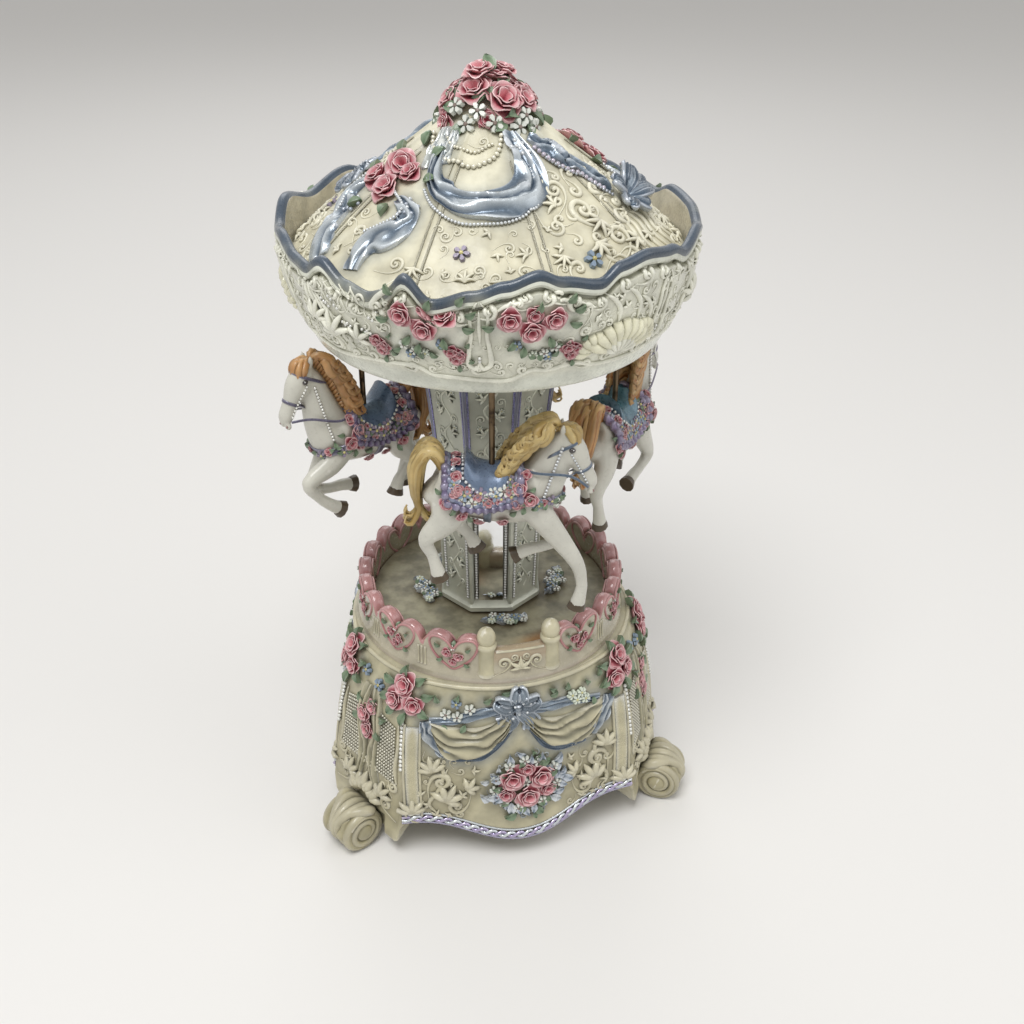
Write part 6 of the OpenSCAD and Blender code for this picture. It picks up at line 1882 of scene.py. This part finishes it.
def roof_ornament(tent):
    g = Garden("roof", "carousel", "canopy_resin", Ground(tent, slope=True), roof_paint)
    g.tint = IVORY
    satin, silver = (0.24, 0.30, 0.36), (0.52, 0.57, 0.60)
    # slate and veil_fold colour the valleys of the satin's folds: painted shade
    slate, dusk = (0.08, 0.12, 0.17), (0.30, 0.36, 0.46)
    veil, veil_fold = (0.70, 0.72, 0.68), (0.30, 0.33, 0.32)
    for half in (0, 180):
        g.origin = FRONT + half
        # Roses on the left, and the tails of ribbon that hang from them
        g.roses(((-62, 27.4, 5.0), (-57, 33.6, 5.0), (-73, 32.4, 4.8), (-50, 28, 3.8)), 50, 1.2)
        g.leaves(((-84, 33, 60), (-66, 39, 160), (-49, 37, 200), (-38.4, 29, -80), (-60, 20.6, 0),
            (-78, 25, 40), (-42, 23, -40)), 4.4, 0.6, 14)
        for line, phase in (([(-80, 35), (-81, 41), (-72, 45), (-69, 49.6), (-61.5, 54.6)], 0),
                ([(-46, 35), (-35, 38.4), (-37, 42.6), (-45, 46.6), (-45, 53.6)], 2)):
            g.satin(line, (1.2, 3.2, 3.8, 3.6, 2.6), silver, slate, folds=1.6, deep=2.0, phase=phase)
            g.bead([(a - 200 / r, r - 1.8) for a, r in line[:4]], SILVER, "seed_pearls", 1.2)
        for a0, r0 in ((-70, 41), (-38, 36.4)):
            g.heap("seed_pearls", a0, r0, 9, 2.0, 3, 0.8, 0.62, (SILVER, dusk, dusk))
        # Strings of pearls and a blue swag in front
        g.bead([(-62, 17.4), (-40, 21.5), (-12.4, 23.4), (4, 20.6), (12, 15.6)], IVORY, lift=0.6)
        g.bead([(-50, 15.4), (-34, 18.4), (-12, 19.6), (2, 17.6)], IVORY, "seed_pearls", 0.5)
        g.cloth([(14, 15), (17, 22), (12, 27), (0, 29.6), (-12, 30), (-24, 28), (-32, 24.6), (-38, 19)],
            [(28, 15), (35, 22.6), (30, 31.4), (13, 36.6), (-6, 37), (-24, 34), (-36, 28.6), (-46, 19)],
            silver, slate, 2.3, 2.6, 0.4, 2.2, 0.6)
        g.bead([(27, 22), (24, 32), (14.8, 36.6), (-4.6, 38.6), (-21, 36.8), (-35, 31)], SILVER,
            "seed_pearls", 0.7)
        g.satin([(-50, 14.6), (-46, 20), (-41, 25.4)], (1.2, 2.2, 2.0), veil, veil_fold, folds=2.2, deep=1.6)
        g.satin([(-36, 14.6), (-36, 19), (-33, 23.4)], (1.0, 1.7, 1.4), veil, veil_fold, folds=2, deep=1.3)
        g.heap("seed_pearls", 24, 19.5, 7, 2.0, 3, 1.2, 0.7, (SILVER,))
        g.bloom("lilac_flowers", -10.1, 45.4, 2.6, 0, 0.4)
        g.bloom("blue_flowers", 33.7, 49.4, 3.0, 20, 0.4)
        g.bloom("lilac_flowers", 88, 46, 2.4, 40, 0.4)
        # The beaded ribbon down the right, with its bow
        g.satin([(40, 16.5), (50, 20.5), (60, 25), (68, 31), (72, 36)], (1.4, 2.4, 2.8, 2.4, 1.6), satin,
            slate, folds=2, deep=2.2, waves=3)
        g.bead([(37, 20), (47, 24.5), (57, 29.6), (65, 35)], (0.38, 0.34, 0.44), lift=0.9)
        g.bead([(41, 22), (51, 27), (60, 32), (67, 37.4)], (0.30, 0.34, 0.42), "seed_pearls", 0.8)
        for x, y, up in ((-5.4, -2.4, 3.4), (7.4, -3.6, 5.2), (2.0, -6.2, 3.0), (-3.4, 5.0, 4.4),
                (6.0, 4.2, 6.4), (9.6, 0.6, 5.6)):
            for k, side in enumerate((-0.6, 0, 0.6)):
                up = min(up, 1.6) if half else up
                line = [(0, 0, 0.8), (0.5 * x - side * y * 0.34, 0.5 * y + side * x * 0.34, 0.7 * up + 0.6),
                    (x - side * y * 0.26, y + side * x * 0.26, up), (x * 1.1, y * 1.1, up * 0.9)]
                g.draw("bows", 73, 40, line, (0.7, 1.7, 1.7, 0.3), (slate, satin, slate)[k], steps=4)
        # Two cords along each seam, and carved scrollwork between them
        for rib in RIBS:
            for k in (-1, 1):
                g.carve([(rib - half + k * 60 / r, r) for r in (22, 32, 42, 56)], (0.2, 0.32, 0.34, 0.3), 0.2)
        clear = [(-10.1, 45.4, 4), (33.7, 49.4, 4.4), (-60, 30, 9), (-72, 43, 7), (-42, 43, 7)]
        g.field((28, 27), (66, 56), 5.6, 2.3, clear, seed=11, breadth=0.32)
        g.field((-20, 40), (28, 56), 4.4, 1.5, clear, seed=12, breadth=0.26)
        g.field((-100, 38), (-50, 56), 5.4, 2.0, clear, seed=13, breadth=0.3)
        g.field((66, 30), (98, 56), 5.4, 2.1, clear, seed=14, breadth=0.3)
        for a, r, size, turn, flip in ((34, 31, 3.2, 60, 1), (42, 37.6, 4.2, -30, -1), (50, 46, 3.8, 40, 1),
                (60, 43, 3.2, 160, 1), (26, 40, 2.6, -60, 1), (44, 52, 3.0, 200, -1), (56, 53, 2.8, 10, 1),
                (-4, 49.4, 1.8, 30, 1), (6, 44, 1.7, 200, -1), (-14, 50.6, 1.7, 10, -1),
                (10, 49.6, 1.8, 150, 1), (-2, 53, 1.6, 0, 1), (-17, 41.6, 1.8, 90, -1), (-6, 17, 1.6, 0, 1),
                (-31, 49.6, 2.4, 20, 1), (-54, 45, 2.2, 70, 1), (-95, 44, 3.2, 20, 1),
                (-86, 51, 2.6, 200, -1), (84, 52, 2.6, 60, 1), (-58, 40.6, 1.8, 40, -1),
                (-98, 33, 2.6, 90, 1), (80, 30, 2.4, 200, 1), (88, 38, 2.6, 120, -1)):
            g.scroll(a, r, size, turn, flip, breadth=0.22)
        for a, r, size, turn, lobes in ((47, 41, 6, 120, 5), (38, 46, 6, 200, 5), (57, 48.6, 5.4, 100, 4),
                (30, 35, 4.6, 40, 4), (-8, 52, 4, 0, 5), (2, 51.4, 3.6, 180, 4), (12, 46, 3.6, 60, 4),
                (-92, 50, 5, 160, 5), (86, 44, 5, 60, 5), (24, 47, 4.4, 160, 5), (-24, 50, 4.2, 170, 5)):
            g.fan(a, r, size, turn, lobes, 110, wide=0.11)
        for k in range(7):
            a = 57 + 4.4 * k
            g.carve([(a, 42 + (k % 2)), (a + 1.6, 46), (a - 0.8, 50), (a + 1, 54.6)], (0.3, 0.7, 0.6, 0.3),
                0.2)
    # Painted shade round the roof's ornament: olive with the wash round the carving, grey round the flowers
    # and cloth
    g.shade_and_wash_round(tent, ((("carving",), (0.50, 0.46, 0.32)), (("roses", "leaves", "satin", "bows"), SHADOW_GREY)), 2.2,
        0.5)
    g.grow()


def bouquet():
    """The bunch of roses on the peak"""
    roses, leaves, daisies, pale = Spray(), Spray(), Spray(), Spray()
    heart, hearts_at = Vector((0, 0, 238)), []

    def out(rel, rise, r):
        a, up = radians(FRONT + rel), radians(rise)
        way = Vector((cos(a) * cos(up), sin(a) * cos(up), sin(up)))
        return heart + way * r, way

    for k, (rel, rise, r, size) in enumerate(((-30, 57, 14.4, 5.8), (24, 46, 14.2, 6.2), (62, 42, 14.0, 5.4),
            (-76, 38, 14.0, 5.2), (150, 62, 14.4, 5.6), (-34, 74, 17.4, 5.0), (96, 76, 16.6, 4.6),
            (-128, 40, 14.0, 5.2), (108, 38, 14.0, 5.2), (168, 34, 14.0, 5.4), (50, 82, 15.4, 4.6),
            (-104, 64, 13.6, 4.4), (-2, 24, 13.8, 3.2), (92, 64, 13.6, 3.8), (-62, 14, 14.4, 3.4),
            (144, 12, 14.4, 3.4))):
        roses.set(out(rel, rise, r), size, 63 * k)
        hearts_at.append(out(rel, rise, 13.4)[0])
    for k in range(60):
        rel, rise = GOLDEN * k, 14 + 62 * (k / 60)
        place = out(rel, rise, 13.4)
        if min((place[0] - other).length for other in hearts_at) > 3.4:
            leaves.set(place, 5.2, 80 * sin(3.1 * k) + (150 if rise < 40 else 20), 18)
    leaves.set(out(10, 78, 16), 6.2, 10, 36)
    for rel, rise in ((-26, 18), (6, 20), (34, 14), (-46, 34), (58, 10), (88, 16), (-98, 12), (170, 10),
            (-150, 14), (130, 26), (46, 24), (-14, 32)):
        daisies.set(out(rel, rise, 15.2), 2.8, 7 * rel, 0)
    for rel in range(-170, 190, 24):
        pale.set(out(rel + 9, 5 + 4 * sin(rel), 14.8), 2.0, rel, 0)
    roses.grown("peak_roses", "carousel", "rose_paint", rose_paint, rose, stands_for=["rose_bouquet"])
    leaves.grown("peak_leaves", "carousel", "rose_paint", leaf_paint, BLOOMS["leaves"][0])
    daisies.grown("peak_daisies", "carousel", "rose_paint", leaf_paint, BLOOMS["daisies"][0])
    pale.grown("peak_small_flowers", "carousel", "rose_paint", leaf_paint, BLOOMS["pale_flowers"][0])


def column_ornament(column):
    g = Garden("column", "carousel", "column_resin", Ground(column, least=14), column_paint)
    g.tint = (0.68, 0.70, 0.59)
    foot, mirror_top, top, pitch = 86, 132, 176, 6.4
    for k in range(8):
        g.origin = FRONT + 45 * k
        low = mirror_top if k % 2 == 0 else foot
        steps = int((top - low) / pitch)
        g.carve([(6 * sin(1.6 * i), low + (top - low) * i / (2 * steps)) for i in range(2 * steps + 1)], 0.4,
            0.0, steps=3)
        for i in range(steps):
            z, side = low + 3.2 + pitch * i, (-1) ** i
            g.scroll(side * 9, z, 1.3, 90 * side, side, breadth=0.3)
            g.fan(-side * 5, z + 1, 3.0, side * 60, 4, 120, wide=0.16)
            g.bloom("pale_flowers", -side * 10, z + 3.2, 1.1, 30 * i, 0.1)
        for side in (-1, 1):
            g.bead([(side * 17.6, 84), (side * 17.6, 104), (side * 17.0, 121)], (0.74, 0.76, 0.76),
                "seed_pearls", 0.2)
            g.trace("trim", [(side * 20.3, 124), (side * 20.0, 150), (side * 19.8, top)], 0.4,
                (0.22, 0.22, 0.42), 0.1)
    # The small flowers that are grown from here on are washed like the column
    BLOOMS["pale_flowers"] = (BLOOMS["pale_flowers"][0], column_paint)
    g.grow()


def stage_flowers(shell):
    """Little bunches on the floor round the column's foot"""
    g = Garden("stage", "base", "cream_resin", Ground(shell, slope=True))
    g.tint = BEIGE
    for rel, r in ((-84, 22), (-100, 23.6), (-5, 21.6), (8, 23), (74, 22), (86, 24), (140, 22), (-150, 22.6)):
        a = -90 + rel
        for k in range(9):
            g.bloom(("leaves", "silver_leaves", "blue_leaves")[k % 3], a + 9 * sin(2.1 * k),
                r + 1.8 * cos(1.7 * k), 3.4, 100 * k, 0.2, 30)
        for k, kind in enumerate(("daisies", "blue_flowers", "daisies", "pale_flowers", "blue_flowers")):
            g.bloom(kind, a + 7 * sin(1.3 * k + rel), r + 1.8 * cos(1.9 * k), 1.6, 50 * k, 1.9)
    g.grow()


light_and_camera()
coat_frame()
casting = base_shell()
base_ornament(casting)
scroll_feet()
parapet_ornament(parapet_wall())
hearts()
gate_posts()
stage_flowers(casting)
crown_ornament(crown_wall())
roof_ornament(tent_roof())
bouquet()
column_ornament(column_panels())
for k, about in enumerate(HORSES):
    make_horse(k + 1, *about)

for made in PATTERNS:
    bpy.data.objects.remove(made)
